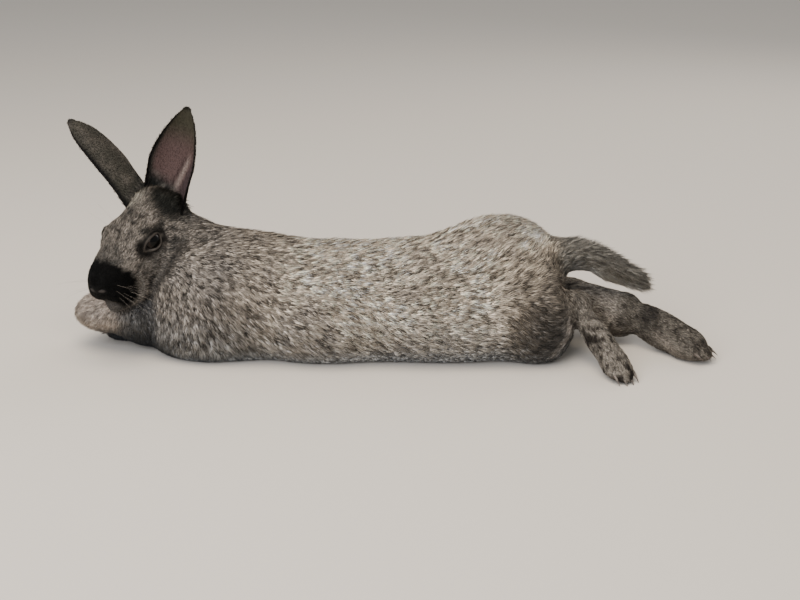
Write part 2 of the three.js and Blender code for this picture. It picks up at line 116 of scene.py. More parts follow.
# Places and radii along the tail, from its root.
TAIL = [
    (138, 5, 83, 17),
    (158, 6, 83.5, 13.5),
    (174, 7, 81.5, 11.5),
    (191, 8, 73.5, 11),
    (210, 9, 64, 8),
    (236, 9, 52, 3),
]
TAIL_STEPS = 4  # short lengths that each of its lengths is curved through
TAIL_SOFT = 1.5  # how softly they run together
TAIL_SWELL = 3.0  # how far the tail's form stands out past the radii

# ---- Axes of the head: forward to the nose, left, and up to the crown ----------------------------


def unit(v):
    v = np.asarray(v, float)
    return v / np.maximum(np.linalg.norm(v, axis=-1, keepdims=True), 1e-9)


def head_axes():
    yaw, pitch, roll = (math.radians(a) for a in (HEAD_YAW, HEAD_PITCH, HEAD_ROLL))
    level = np.array([math.cos(yaw), math.sin(yaw), 0])
    forward = -math.cos(pitch) * level - np.array([0, 0, math.sin(pitch)])
    left = np.array([math.sin(yaw), -math.cos(yaw), 0])
    left = left * math.cos(roll) + np.cross(forward, left) * math.sin(roll)
    return np.array([forward, left, np.cross(forward, left)])


HEAD = head_axes()  # one axis in each row


def from_head(*place):
    return np.array(HEAD_CENTRE) + np.array(place, float) @ HEAD


def in_head(points):
    return (points - np.array(HEAD_CENTRE)) @ HEAD.T


# The eyes' solids tell where the maker's axes lie in the model.
eye_middle = sum((sum(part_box(n), Vector()) / 2 for n in ("eye_left", "eye_right")), Vector()) / 2
SHIFT = np.array(eye_middle) / MM - from_head(EYE_PLACE[0], 0, EYE_PLACE[2])


def to_metres(points):
    return (np.asarray(points) + SHIFT) * MM


def to_mm(points):
    return np.asarray(points) / MM - SHIFT


# ---- Round forms: distances in millimetres, negative inside --------------------------------------


def ellipsoid(p, centre, radii):
    d, r = p - np.array(centre, float), np.array(radii, float)
    level = np.linalg.norm(d / r, axis=1)
    steepness = np.linalg.norm(d / r**2, axis=1)
    return level * (level - 1) / np.maximum(steepness, 1e-9)


def taper(p, a, b, ra, rb):
    a, ab = np.array(a, float), np.array(b, float) - np.array(a, float)
    t = np.clip((p - a) @ ab / (ab @ ab), 0, 1)
    return np.linalg.norm(p - a - t[:, None] * ab, axis=1) - ra - (rb - ra) * t


def smooth_step(x, low, high):
    t = np.clip((x - low) / (high - low), 0, 1)
    return t * t * (3 - 2 * t)


def bell(x, width):
    """1 at nought, falling smoothly to almost nothing at twice the width."""
    return np.exp(-((x / width) ** 2))


def stroke(p, line, width):
    """1 on a line of points, fading across it."""
    return bell(np.min([taper(p, a, b, 0, 0) for a, b in zip(line, line[1:])], axis=0), width)


def soft_min(a, b, k):
    h = np.maximum(k - np.abs(a - b), 0) / k
    return np.minimum(a, b) - h * h * k / 4


def blend(k, *distances):
    d = distances[0]
    for other in distances[1:]:
        d = soft_min(d, other, k)
    return d


def limb(p, chain, k):
    return blend(k, *(taper(p, a[:3], b[:3], a[3], b[3]) for a, b in zip(chain, chain[1:])))


def rounded(chain, steps):
    """The same chain in shorter pieces, curved through its points."""
    rows = np.array([chain[0], *chain, chain[-1]], float)
    course = []
    for a, b, c, d in zip(rows, rows[1:], rows[2:], rows[3:]):
        for t in np.arange(steps) / steps:
            bend = (c - a) * t + (2 * a - 5 * b + 4 * c - d) * t**2 + (3 * (b - c) + d - a) * t**3
            course.append(b + bend / 2)
    return [*course, rows[-1]]


TAIL_COURSE = rounded(TAIL, TAIL_STEPS)


def head_form(p):
    q = in_head(p)

    def pair(x, y, z, radii):
        return ellipsoid(q, (x, y, z), radii), ellipsoid(q, (x, -y, z), radii)

    return blend(
        8,
        ellipsoid(q, (-22, 0, 3), (38, 26, 29)),
        *pair(-9, 14, -15, (32, 20, 26)),
        *pair(14, 11, -21, (25, 12, 14)),
        *pair(20, 12, -7, (24, 12, 15)),
        *pair(-1, 16, 8, (21, 13, 14)),
        taper(q, (2, 0, 2), (42, 0, -6), 23, 18),
        taper(q, (-10, 0, -20), (30, 0, -22), 21, 12),
        *pair(42, 8.5, -17, (17, 13, 13.5)),
        ellipsoid(q, (53, 0, -8), (9, 10, 10)),
        ellipsoid(q, (39, 0, -35), (14, 12, 11)),
        *pair(14, 9, -34, (25, 13, 14)),
        ellipsoid(q, (-36, 0, 22), (17, 18, 15)),
        *pair(-42, 15, 13, (15, 13, 16)),
    )


def nape_form(p):
    return taper(p, from_head(-32, 0, -4), (-172, 6, 62), 30, 44)


def throat_form(p):
    return taper(p, from_head(-14, 0, -24), (-196, 6, 40), 22, 38)


def thigh_form(p, side):
    """Haunch and knee."""
    return blend(
        12,
        ellipsoid(p, (104, side * 38, 46), (46, 37, 46)),
        ellipsoid(p, (124, side * 43, 32), (34, 29, 36)),
    )


def trunk_form(p):
    body = blend(
        20,
        ellipsoid(p, (-146, 2, 51), (82, 70, 57)),
        ellipsoid(p, (-66, 0, 40), (104, 76, 60)),
        ellipsoid(p, (22, 0, 43), (92, 77, 59)),
        ellipsoid(p, (72, 0, 33), (70, 73, 42)),
        ellipsoid(p, (80, 3, 57), (66, 66, 62)),
        ellipsoid(p, (100, 4, 62), (50, 56, 56)),
        blend(14, nape_form(p), throat_form(p)),
        ellipsoid(p, (-172, -3, 26), (66, 60, 42)),
        ellipsoid(p, (-191, -10, 56), (36, 37, 42)),
    )
    return blend(10, body, thigh_form(p, -1), thigh_form(p, 1))


def dewlap_form(p):
    return blend(
        12,
        ellipsoid(p, (-267, 2, 33), (36, 34, 22)),
        ellipsoid(p, (-246, -10, 36), (26, 28, 20)),
        ellipsoid(p, (-232, 0, 34), (32, 38, 34)),
    )


def foot_axes(leg):
    """Origin, axes (one in each row: along, across, up) and length of a foot."""
    start, tip = np.array(leg["joint"], float), np.array(leg["toes"], float)
    along = unit(tip - start)
    across = unit(np.cross((0, 0, 1), along))
    axes = np.array([along, across, np.cross(along, across)])
    return start, axes, np.linalg.norm(tip - start)


def leg_form(p, leg):
    start, axes, length = foot_axes(leg)
    width, thick, toe = leg["foot"]
    q = (p - start) @ axes.T
    pad = length - toe
    parts = [
        ellipsoid(q, (length * 0.46, 0, 0), (length * 0.58, width * 0.44, thick * 0.6)),
        ellipsoid(q, (pad * 0.98, 0, -1), (length * 0.2, width * 0.5, thick * 0.54)),
    ]
    for step in (-1.5, -0.5, 0.5, 1.5):
        y, end = step * width / 4, length - abs(step) * 3.2
        parts.append(
            taper(q, (pad - toe / 2, y * 0.8, -1), (end, y, -1), width * 0.16, width * 0.145)
        )
    soft, soft_limb = leg["soft"]
    return blend(
        soft,
        blend(4, *parts),
        limb(p, leg["chain"], soft_limb),
        ellipsoid(p, leg["joint"], leg["knob"]),
    )


FAR = 60.0  # stands for any distance outside a form's box


def within(p, low, high, form):
    """A form's distance near its box; elsewhere only that it is far."""
    near = ((p > np.array(low) - 30) & (p < np.array(high) + 30)).all(1)
    d = np.full(len(p), FAR)
    if near.any():
        d[near] = form(p[near])
    return d


def forms(p):
    """The distance to each main form of the body."""
    found = {
        "head": within(
            p,
            (-306, -85, 30),
            (-150, 60, 160),
            lambda q: blend(12, head_form(q), nape_form(q)),
        ),
        "trunk": within(p, (-290, -85, -10), (165, 85, 130), trunk_form),
        "dewlap": within(p, (-305, -45, 0), (-190, 45, 72), dewlap_form),
        "tail": within(
            p,
            (115, -20, 50),
            (230, 30, 108),
            lambda q: limb(q, TAIL_COURSE, TAIL_SOFT) - TAIL_SWELL,
        ),
    }
    for name, leg in LEGS.items():
        ends = np.array([c[:3] for c in leg["chain"]] + [leg["toes"]])
        low, high = ends.min(0) - 24, ends.max(0) + 24
        found[name] = within(p, low, high, lambda q, leg=leg: leg_form(q, leg))
    return found


COAT_DEPTHS = {"trunk": 4.0, "dewlap": 4.5, "tail": 4.5}  # from the tips of the coat to the skin
SHORT_DEPTH = 1.8  # the same on the head and legs
DEPTH_BLEND = 5  # the distance over which one depth gives way to another
PRESSED_HEIGHT = 25  # under it the coat is thinner, down to half at the floor
FLAT_LEVEL = 0.8  # how high the skin's flats lie over the floor, on the coat pressed under them
# How softly the trunk meets the head, the legs, the tail and its own flats on the floor.
SOFT = {"head": 5, "hind": 9, "fore": 5, "tail": 12, "floor": 3}


def coat_depth(p, found):
    """How deep the skin lies under the tips of the coat."""
    total = weight_sum = 0
    for name, d in found.items():
        w = np.exp(-np.maximum(d, 0) / DEPTH_BLEND)
        total = total + w * COAT_DEPTHS.get(name, SHORT_DEPTH)
        weight_sum = weight_sum + w
    near_floor = 0.5 + 0.5 * smooth_step(p[:, 2], 0, PRESSED_HEIGHT)
    return near_floor * total / weight_sum


def skin_field(p):
    """Distance to the skin, flat where it rests on the floor."""
    found = forms(p)
    body = blend(SOFT["head"], found["head"], found["trunk"], found["dewlap"])
    legged = body
    for name in LEGS:
        legged = soft_min(legged, found[name], SOFT[name.split("_")[0]])
    tailed = soft_min(body, found["tail"], SOFT["tail"])
    d = np.minimum(legged, tailed) + coat_depth(p, found)
    return -soft_min(-d, p[:, 2] - FLAT_LEVEL, SOFT["floor"])


def slope_of(field, p, value, step=0.25):
    return np.stack([(field(p + np.eye(3)[i] * step) - value) / step for i in range(3)], 1)


# ---- Small tools ---------------------------------------------------------------------------------


def hex_colour(code):
    """An sRGB hex colour as linear numbers."""
    c = np.array([int(code[i : i + 2], 16) for i in (1, 3, 5)]) / 255
    return np.where(c <= 0.04045, c / 12.92, ((c + 0.055) / 1.055) ** 2.4)


def set_inputs(tree, node, inputs):
    """Each input, by name or number, takes a value or a socket that it is linked to."""
    for name, value in inputs.items():
        by_name = (s for s in node.inputs if s.name == name and s.enabled)
        socket = node.inputs[name] if isinstance(name, int) else next(by_name)
        if isinstance(value, bpy.types.NodeSocket):
            tree.links.new(value, socket)
        else:
            socket.default_value = value


def add_node(tree, kind, inputs=None, **settings):
    node = tree.nodes.new(kind)
    for name, value in settings.items():
        setattr(node, name, value)
    set_inputs(tree, node, inputs or {})
    return node


def out(node):
    """The node's first socket in use."""
    return next(s for s in node.outputs if s.enabled)


def new_material(name):
    """A material with its tree and its shader."""
    material = bpy.data.materials.new(name)
    material.use_nodes = True
    return material, material.node_tree, material.node_tree.nodes["Principled BSDF"]


def set_stops(ramp, stops):
    """Colours along a ramp, by their places from 0 to 1."""
    for place, colour in stops.items():
        ends = {0: ramp.elements[0], 1: ramp.elements[-1]}
        stop = ends[place] if place in ends else ramp.elements.new(place)
        stop.color = (*colour, 1)


def object_of(name, data):
    made = bpy.data.objects.new(name, data)
    bpy.context.scene.collection.objects.link(made)
    return made


def mesh_of(name, points, faces):
    mesh = bpy.data.meshes.new(name)
    mesh.from_pydata([tuple(p) for p in points], [], [tuple(f) for f in faces])
    mesh.update()
    return mesh


def tube_faces(rings, around, first=0):
    """The sides of a tube whose rings of points follow each other."""
    faces = []
    for start in range(first, first + (rings - 1) * around, around):
        for k in range(around):
            a, b = start + k, start + (k + 1) % around
            faces.append((a, b, b + around, a + around))
    return faces


def turn_outward(mesh):
    bm = bmesh.new()
    bm.from_mesh(mesh)
    bmesh.ops.recalc_face_normals(bm, faces=bm.faces)
    bm.to_mesh(mesh)
    bm.free()


def vectors_of(rows, field):
    values = np.empty(len(rows) * 3)
    rows.foreach_get(field, values)
    return values.reshape(-1, 3)


def points_of(mesh):
    return vectors_of(mesh.vertices, "co")


def set_points(mesh, points):
    mesh.vertices.foreach_set("co", np.asarray(points, np.float32).ravel())
    mesh.update()


def applied(obj):
    """The object's mesh with its modifiers, as a plain mesh."""
    graph = bpy.context.evaluated_depsgraph_get()
    graph.update()
    mesh = bpy.data.meshes.new_from_object(obj.evaluated_get(graph))
    obj.modifiers.clear()
    return mesh


def store(mesh, name, values, kind="FLOAT", domain="POINT"):
    field = {"FLOAT": "value", "INT": "value", "FLOAT_VECTOR": "vector", "FLOAT_COLOR": "color"}
    attribute = mesh.attributes.get(name) or mesh.attributes.new(name, kind, domain)
    attribute.data.foreach_set(field[kind], np.ascontiguousarray(values).ravel())


def neighbour_mean(edges, count, values):
    total, number = np.zeros_like(values), np.zeros(count)
    for a, b in ((0, 1), (1, 0)):
        np.add.at(total, edges[:, a], values[edges[:, b]])
        np.add.at(number, edges[:, a], 1)
    return total / np.maximum(number, 1)[:, None]


def edges_of(mesh):
    edges = np.empty(len(mesh.edges) * 2, int)
    mesh.edges.foreach_get("vertices", edges)
    return edges.reshape(-1, 2)


# ---- Skin: one net over all the flesh, slid onto the smooth forms --------------------------------

APART = ("eye", "claw")
FLESH = [n for n in frame["nodes"] if not n.startswith(APART)]


def rough_net():
    """The solids joined into one closed net of even cells."""
    whole = bmesh.new()
    for name in frame["nodes"]:
        if name.startswith(("claw", "ear")):
            continue
        piece = bmesh.new()
        piece.from_mesh(frame["nodes"][name].data)
        bmesh.ops.remove_doubles(piece, verts=piece.verts, dist=1e-5)
        piece.normal_update()
        for v in piece.verts:
            v.co += v.normal * 0.5 * MM  # closes the gaps between the solids
        mesh = bpy.data.meshes.new("piece")
        piece.to_mesh(mesh)
        piece.free()
        whole.from_mesh(mesh)
        bpy.data.meshes.remove(mesh)
    mesh = bpy.data.meshes.new("skin")
    whole.to_mesh(mesh)
    whole.free()
    body = object_of("skin_net", mesh)
    remesh = body.modifiers.new("net", "REMESH")
    remesh.mode = "VOXEL"
    remesh.voxel_size = SKIN_CELL * MM
    net = applied(body)
    bpy.data.objects.remove(body)
    return net


def keep_largest(net):
    """Removes closed pockets inside the flesh."""
    bm = bmesh.new()
    bm.from_mesh(net)
    bm.verts.ensure_lookup_table()
    seen, islands = set(), []
    for start in bm.verts:
        if start in seen:
            continue
        seen.add(start)
        island, queue = [start], [start]
        while queue:
            for e in queue.pop().link_edges:
                for v in e.verts:
                    if v not in seen:
                        seen.add(v)
                        island.append(v)
                        queue.append(v)
        islands.append(island)
    islands.sort(key=len)
    bmesh.ops.delete(bm, geom=[v for i in islands[:-1] for v in i], context="VERTS")
    bm.to_mesh(net)
    bm.free()


LONGEST_STEP = 3  # how far a point of the net is moved at once
EVENING = 0.6  # share of the way that it then moves to the middle of its neighbours


def slide(net, field, rounds):
    """Moves the net onto the field's surface and evens it out along the surface."""
    p, edges = to_mm(points_of(net)), edges_of(net)
    for turn in range(rounds):
        value = field(p)
        slope = slope_of(field, p, value)
        size = np.maximum((slope**2).sum(1), 0.2)
        p = p - slope * np.clip(value / size, -LONGEST_STEP, LONGEST_STEP)[:, None]
        if turn < rounds - 1:
            shift = neighbour_mean(edges, len(p), p) - p
            normal = unit(slope)
            p = p + EVENING * (shift - normal * (shift * normal).sum(1)[:, None])
    set_points(net, to_metres(p))


def finer(net, where):
    """Halves the cells of the faces whose middle is chosen."""
    bm = bmesh.new()
    bm.from_mesh(net)
    middles = to_mm([f.calc_center_median() for f in bm.faces])
    chosen = where(middles)
    edges = {e for f, c in zip(bm.faces, chosen) if c for e in f.edges}
    bmesh.ops.subdivide_edges(bm, edges=list(edges), cuts=1, use_grid_fill=True)
    bmesh.ops.triangulate(bm, faces=[f for f in bm.faces if len(f.verts) > 4])
    bm.to_mesh(net)
    bm.free()


EYES = {side: from_head(EYE_PLACE[0], side * EYE_PLACE[1], EYE_PLACE[2]) for side in (1, -1)}
LID_AREA = 16  # how far from the middle of an eyeball the lids and their finer cells reach


def near_eye(p, reach):
    return np.min([np.linalg.norm(p - e, axis=1) for e in EYES.values()], 0) < reach


def on_head(p):
    return (in_head(p)[:, 0] > -52) & (head_form(p) < 4)


def on_face(p):
    q = in_head(p)
    muzzle = (q[:, 0] > 26) & (head_form(p) < 3) & (p[:, 2] > 42)
    return near_eye(p, LID_AREA) | muzzle


# ---- Face: lids round the eyes, nostrils, cleft and mouth ----------------------------------------

EYE_TURN_FORWARD, EYE_TURN_UP = 14, 6  # degrees that an eye looks forward and up from sideways
LID_SLANT = 8  # degrees that the opening rises to its rear corner
LID_REACH = (11.4, 6.2, 5.0)  # half length, upper and lower half height of the opening
LID_DROP = 1.0  # how far the opening's middle lies under the eyeball's
LID_THICK = 1.1


def eye_axes(side):
    """Outward, forward and up axes of an eye, one in each row, in the model's axes."""
    f, u = math.radians(EYE_TURN_FORWARD), math.radians(EYE_TURN_UP)
    outward = np.array([math.sin(f) * math.cos(u), side * math.cos(f) * math.cos(u), math.sin(u)])
    slant = math.radians(LID_SLANT)
    front = np.array([math.cos(slant), 0, -math.sin(slant)])
    front = unit(front - outward * (front @ outward))
    up = np.cross(outward, front) * (-side)
    up = up if up[2] > 0 else -up
    return np.array([outward, front, up]) @ HEAD


def lid_opening(p, side):
    """How far a point lies outside the lids' opening, in mm over the eyeball, and its radius."""
    d = p - EYES[side]
    radius = np.linalg.norm(d, axis=1)
    toward, front, up = (unit(d) @ eye_axes(side).T).T
    angle = np.arccos(np.clip(toward, -1, 1))
    spread = EYE_RADIUS * angle / np.maximum(np.hypot(front, up), 1e-6)
    x, y = front * spread, up * spread + LID_DROP
    length, above, below = LID_REACH
    half = np.where(y > 0, above, below)
    level = np.sqrt((x / length) ** 2 + (y / half) ** 2)
    corner = 1 + 0.22 * np.clip((np.abs(x) / length) ** 3, 0, 2)  # drawn out to two corners
    return (level * np.where(level > 0.4, 2 - 1 / corner, 1) - 1) * np.minimum(half, length), radius


def lids(p):
    """The skin climbs over the eyeball to a rim, and drops behind it inside the opening."""
    for side, centre in EYES.items():
        away, radius = lid_opening(p, side)
        close = radius < 20
        rim = EYE_RADIUS + 0.25 + LID_THICK * smooth_step(away, 0, 1.1)
        rim = rim - np.maximum(away - 2.5, 0) * 0.55
        lid = -soft_min(-radius, -rim, 1.6)
        socket = np.full(len(p), EYE_RADIUS - 1.5)
        target = np.where(away > 0, lid, socket + 1.5 * smooth_step(away, -0.8, 0))
        target = np.where(close, target, radius)
        p = centre + (p - centre) * (target / np.maximum(radius, 1e-6))[:, None]
    return p


# Grooves of the face, each a line of points in the head's axes with a half width and a depth: the
# cleft of the lip, the nostril, the mouth and the front corner of the eye. All are on both sides.
GROOVES = [
    {"line": [(64, 0, -13), (60, 0, -19), (53, 0, -25)], "width": 1.0, "depth": 1.8},
    {"line": [(63, 1.6, -12), (62, 4.4, -9.6), (59, 7.2, -8.4)], "width": 1.0, "depth": 2.0},
    {"line": [(53, 0, -25), (46, 8, -27), (34, 15, -26.5), (22, 19, -23)], "width": 1.1, "depth": 1.7},
    {"line": [(12, 27, 2), (18, 24, -2), (24, 21, -5)], "width": 2.2, "depth": 0.8},
]


def grooves(p):
    q = in_head(p)
    normal = unit(slope_of(skin_field, p, skin_field(p)))
    sink = np.zeros(len(p))
    for groove in GROOVES:
        for side in (1, -1):
            line = [(x, y * side, z) for x, y, z in groove["line"]]
            sink = np.maximum(sink, groove["depth"] * stroke(q, line, groove["width"]))
    return p - normal * sink[:, None]


# ---- Ears: thin cupped leaves --------------------------------------------------------------------

# Where each ear starts and ends, the way that its opening faces, how far it twists towards its tip,
# and how far its middle bows to the side.
EARS = {
    "ear_left": {
        "root": from_head(-40, 8, 8.5),
        "tip": (-189, 5, 224.5),
        "facing": (-0.37, -0.93, 0),
        "twist": 13,
        "bow": -3.7,
    },
    "ear_right": {
        "root": from_head(-38, -10.5, 12),
        "tip": (-306, 42, 205.5),
        "facing": (-1, 0.14, -0.4),
        "twist": -68,
        "bow": -7,
    },
}
EAR_WIDEST = 0.46  # share of the way to the tip
EAR_TIP_HAIR = 1.8  # coat past the tip of the skin
EAR_CUP, EAR_CUP_OPENS = 1.45, 0.7  # radians each way that it curls at its root, and loses to its tip
EAR_COAT = 0.9  # coat on both sides of it together
EAR_FOLD_HEIGHT = 0.9  # of the ridge inside it
EAR_AROUND, EAR_ALONG = 56, 72


def ear_outline(s):
    """Its width at a share of the way to its tip."""
    foot = np.sqrt(np.minimum(1, s * 16))
    ending = np.maximum(0, (s - EAR_WIDEST) / (1 - EAR_WIDEST))
    tip = 0.16 * np.sqrt(np.minimum(1, (1 - s) / 0.03))
    return foot * np.maximum(tip, np.maximum(0, 1 - ending**1.3) ** 0.78)


def ear_wall(s, sideways):
    """How thick it is there without its coat."""
    near_end = min(1, 12 * s, 12 * (1 - s))
    thick = EAR_THICKNESS * (1.15 - 0.5 * s) * math.sqrt(1 - 0.85 * sideways**2)
    return max(0.2, thick * near_end - EAR_COAT)


def ear_mesh(name):
    """A closed leaf of rings from root to tip, with its own places: along, across and inside."""
    shape = EARS[name]
    root, tip = np.array(shape["root"], float), np.array(shape["tip"], float)
    length = np.linalg.norm(tip - root) - EAR_TIP_HAIR
    up = unit(tip - root)
    facing = np.array(shape["facing"], float)
    opening = unit(facing - up * (facing @ up))
    across = np.cross(up, opening)
    points, places = [], []
    for i in range(1, EAR_ALONG):
        s = (1 - math.cos(math.pi * i / EAR_ALONG)) / 2
        curl = EAR_CUP - EAR_CUP_OPENS * s
        radius = EAR_WIDTH / 2 * ear_outline(s) / curl
        turn = Matrix.Rotation(math.radians(shape["twist"]) * s**3, 3, Vector(up))
        bow = across * shape["bow"] * math.sin(math.pi * s)
        for k in range(EAR_AROUND):
            ring = 2 * math.pi * k / EAR_AROUND
            sideways, depth = math.sin(ring), math.cos(ring)
            fold = EAR_FOLD_HEIGHT * bell(sideways - 0.55, 0.13) * smooth_step(0.55 - s, 0, 0.3)
            reach = radius - depth * ear_wall(s, sideways) / 2 - (fold if depth > 0 else 0)
            angle = sideways * curl
            local = (
                across * math.sin(angle) * reach + opening * (radius / 2 - math.cos(angle) * reach)
            )
            points.append(root + np.array(turn @ Vector(local)) + bow + up * s * length)
            places.append((s, sideways, 1.0 if depth > 0.02 else 0.0))
    rings = EAR_ALONG - 1
    faces = tube_faces(rings, EAR_AROUND)
    for ring, end, flip in ((0, root, True), (rings - 1, root + up * length, False)):
        points.append(end)
        places.append((0.0 if flip else 1.0, 0.0, 0.0))
        middle = len(points) - 1
        for k in range(EAR_AROUND):
            a, b = ring * EAR_AROUND + k, ring * EAR_AROUND + (k + 1) % EAR_AROUND
            faces.append((middle, b, a) if flip else (middle, a, b))
    mesh = mesh_of(name, to_metres(points), faces)
    turn_outward(mesh)
    store(mesh, "ear_place", places, "FLOAT_VECTOR")
    return mesh


def ear_places(mesh):
    """Along, across and inside, for each vertex; all zero off the ears."""
    return vectors_of(mesh.attributes["ear_place"].data, "vector")


def with_ears(net):
    """Joins the ears to the skin in one closed surface, and gives every vertex its place in an ear."""
    body = object_of("skin_net", net)
    ears = [object_of(name + "_form", ear_mesh(name)) for name in EARS]
    for ear in ears:
        join = body.modifiers.new(ear.name, "BOOLEAN")
        join.operation, join.solver, join.object = "UNION", "EXACT", ear
    joined = applied(body)
    places = np.zeros((len(joined.vertices), 3))
    for ear in ears:
        own, own_places = points_of(ear.data), ear_places(ear.data)
        tree = kdtree.KDTree(len(own))
        for i, point in enumerate(own):
            tree.insert(point, i)
        tree.balance()
        for v in joined.vertices:
            if v.co.z > own[:, 2].min():
                _, i, d = tree.find(v.co)
                if d < 0.01 * MM:
                    places[v.index] = own_places[i]
    store(joined, "ear_place", places, "FLOAT_VECTOR")
    for helper in [*ears, body]:
        bpy.data.objects.remove(helper)
    return joined


def make_skin():
    net = rough_net()
    keep_largest(net)
    slide(net, skin_field, 5)
    finer(net, on_head)
    slide(net, skin_field, 3)
    finer(net, on_face)
    slide(net, skin_field, 3)
    set_points(net, to_metres(lids(grooves(to_mm(points_of(net))))))
    return with_ears(net)


def nearness(name, reach=8):
    """1 on one of the body's forms, fading away from it."""
    return bell(np.maximum(SKIN_FORMS[name], 0), reach)


def spread_of(p, size, seed):
    """Smooth noise over the body, about -1 to 1, whose patches are about this many mm across."""
    step = Vector((seed * 7.3, seed * 3.1, seed * 5.7))
    return np.array([noise.noise(Vector(v) / size + step) for v in p]) * 1.6


def folded(q):
    """Places in the head with its right half laid over its left one."""
    return q * (1, 0, 1) + np.abs(q) * (0, 1, 0)


# What the lie, the markings and the coat read at each point of the skin.
skin_mesh = make_skin()
skin_mesh.shade_smooth()
skin = object_of("skin", skin_mesh)
SKIN = to_mm(points_of(skin_mesh))
SKIN_NORMAL = vectors_of(skin_mesh.vertex_normals, "vector")
SKIN_EDGES = edges_of(skin_mesh)
SKIN_FORMS = forms(SKIN)
SKIN_IN_HEAD = in_head(SKIN)
HEAD_SIDES = folded(SKIN_IN_HEAD)
LID_PLACES = [(away, radius < LID_AREA) for away, radius in (lid_opening(SKIN, s) for s in EYES)]
EAR_PLACE = ear_places(skin_mesh)
ON_EAR = EAR_PLACE[:, 0] > 0
WIDE_NOISE = spread_of(SKIN, 55, 1)
BLOTCHES = spread_of(SKIN, 17, 2)
SPECKS = spread_of(SKIN, 5.5, 3)

# ---- Lie of the coat -----------------------------------------------------------------------------

NOSE_TIP = (60, 0, -12)
DEWLAP_TOP = (-236, -2, 62)
# Angle above the level in which the coat lies along the side, by the place along the body: low on the
# flank and high on it.
FLANK_LIE = [
    (-235, -64, -42),
    (-185, -62, -38),
    (-140, -48, -32),
    (-90, -32, -24),
    (-30, -14, -8),
    (30, 2, 10),
    (70, 6, 28),
    (105, 20, 38),
    (150, 50, 66),
]
# The same on the thigh: down at its front, up at its back.
THIGH_LIE = [(96, -58), (120, 0), (146, 66)]
LIE_ROUNDS, LIE_EVENING = 10, 0.6  # how often, and how far, the lie is evened with its surroundings


def rising(angle):
    """The way towards the tail, tipped up by an angle."""
    return np.stack([np.cos(angle), np.zeros(len(angle)), np.sin(angle)], 1)


def trunk_lie(p):
    """Down and back at the shoulder, level on the loin and up over the rump."""
    x, *bounds = zip(*FLANK_LIE)
    low, high = (np.radians(np.interp(p[:, 0], x, angles)) for angles in bounds)
    flank = rising(low + (high - low) * smooth_step(p[:, 2], 30, 95) + 0.22 * WIDE_NOISE)
    thigh = rising(np.radians(np.interp(p[:, 0], *zip(*THIGH_LIE))))
    on_thigh = smooth_step(p[:, 0], 84, 106) * (1 - smooth_step(p[:, 2], 50, 72))
    return unit(flank * (1 - on_thigh)[:, None] + thigh * on_thigh[:, None])


def head_lie(p):
    """Away from the nose, and up over the brow."""
    brow = smooth_step(SKIN_IN_HEAD[:, 2], -5, 15)
    return unit(unit(p - from_head(*NOSE_TIP)) + 0.25 * HEAD[2] * brow[:, None])


def tail_lie(p):
    """Along the tail's course."""
    links = list(zip(TAIL_COURSE, TAIL_COURSE[1:]))
    ways = np.array([unit(b[:3] - a[:3]) for a, b in links])
    middles = [(a[0] + b[0]) / 2 for a, b in links]
    return np.stack([np.interp(p[:, 0], middles, ways[:, i]) for i in range(3)], 1)


def leg_lie(p, leg):
    """Down the shank, and then along the foot."""
    start, axes, _ = foot_axes(leg)
    on_foot = smooth_step((p - start) @ axes[0], -24, -6)[:, None]
    shank = unit(np.subtract(leg["joint"], leg["chain"][0][:3]))
    return axes[0] * on_foot + shank * (1 - on_foot)


def lie_of_coat():
    """The way that the hairs at each point lie along the surface."""
    p, forward = SKIN, SKIN_IN_HEAD[:, 0]
    total = trunk_lie(p) * nearness("trunk")[:, None]
    total += 1.5 * head_lie(p) * (nearness("head", 5) * smooth_step(forward, -50, -34))[:, None]
    total += 1.3 * unit(p - np.array(DEWLAP_TOP)) * nearness("dewlap", 6)[:, None]
    total += 2 * tail_lie(p) * (nearness("tail", 6) * smooth_step(p[:, 0], 132, 150))[:, None]
    for name, leg in LEGS.items():
        near = nearness(name, 12 if name.startswith("hind") else 5)
        total += 2 * leg_lie(p, leg) * near[:, None]
    for name, shape in EARS.items():
        own = ON_EAR & ((p[:, 0] < -236) == (name == "ear_right"))
        total[own] = unit(np.subtract(shape["tip"], shape["root"]))
    for _ in range(LIE_ROUNDS):
        mean = neighbour_mean(SKIN_EDGES, len(p), unit(total))
        total = (1 - LIE_EVENING) * unit(total) + LIE_EVENING * mean
    return unit(total - SKIN_NORMAL * (total * SKIN_NORMAL).sum(1)[:, None])


# ---- Markings: the same on the skin and on the coat ----------------------------------------------

SILVER = "#e3d4c0"
SHADE = "#797573"
NECK = "#696664"
BELLY_FUR_AND_SHADE = "#95999c"
RUMP = "#655f56"
THIGH = "#484644"
THIGH_RIPPLE = "#373532"
THIGH_RIM = "#b3aaa0"
TAIL_TOP = "#88847c"
TAIL_UNDER = "#b4b1aa"
TAIL_ROOT_SHADOW = "#34322f"
FORELEG_FUR_AND_SHADE = "#34353b"
FAR_FORELEG = "#55524e"
FOOT = "#898278"
FAR_FOOT = "#716b62"
FOOT_SHADE = "#332e2a"
FAR_SHANK_PAINTED_LIGHT = "#b3aa9e"
HOCK = "#1f1d1d"
FOOT_BAND = "#a3998d"
FACE = "#878078"
FACE_SHADE = "#44423f"
CROWN_TUFT = "#a19c91"
CHEEK_CREASE_SHADE = "#242221"
DEWLAP = "#b9ac9f"
DEWLAP_SHADE = "#6b6762"
DEWLAP_SLATE = "#5e5f60"
CHIN_SHADOW = "#4b4845"
CHEST_FLOOR_SHADE = "#2f2e2e"
THROAT_SLATE_AND_SHADOW = "#34373b"
MUZZLE = "#040404"
PALE_BAND = "#96918a"
CHIN = "#5d5955"
NOSTRIL = "#413c39"
EYE_FUR_AND_SHADE = "#0c0a09"
LID_RIM = "#47413c"
LID_OPENING_SHADE = "#0c0908"
EAR_ROOT = "#1d1f1d"
EAR_BACK = "#3b3933"
EAR_BACK_PALE = "#615b54"
EAR_EDGE = "#0c0b0b"
EAR_INSIDE = "#564542"
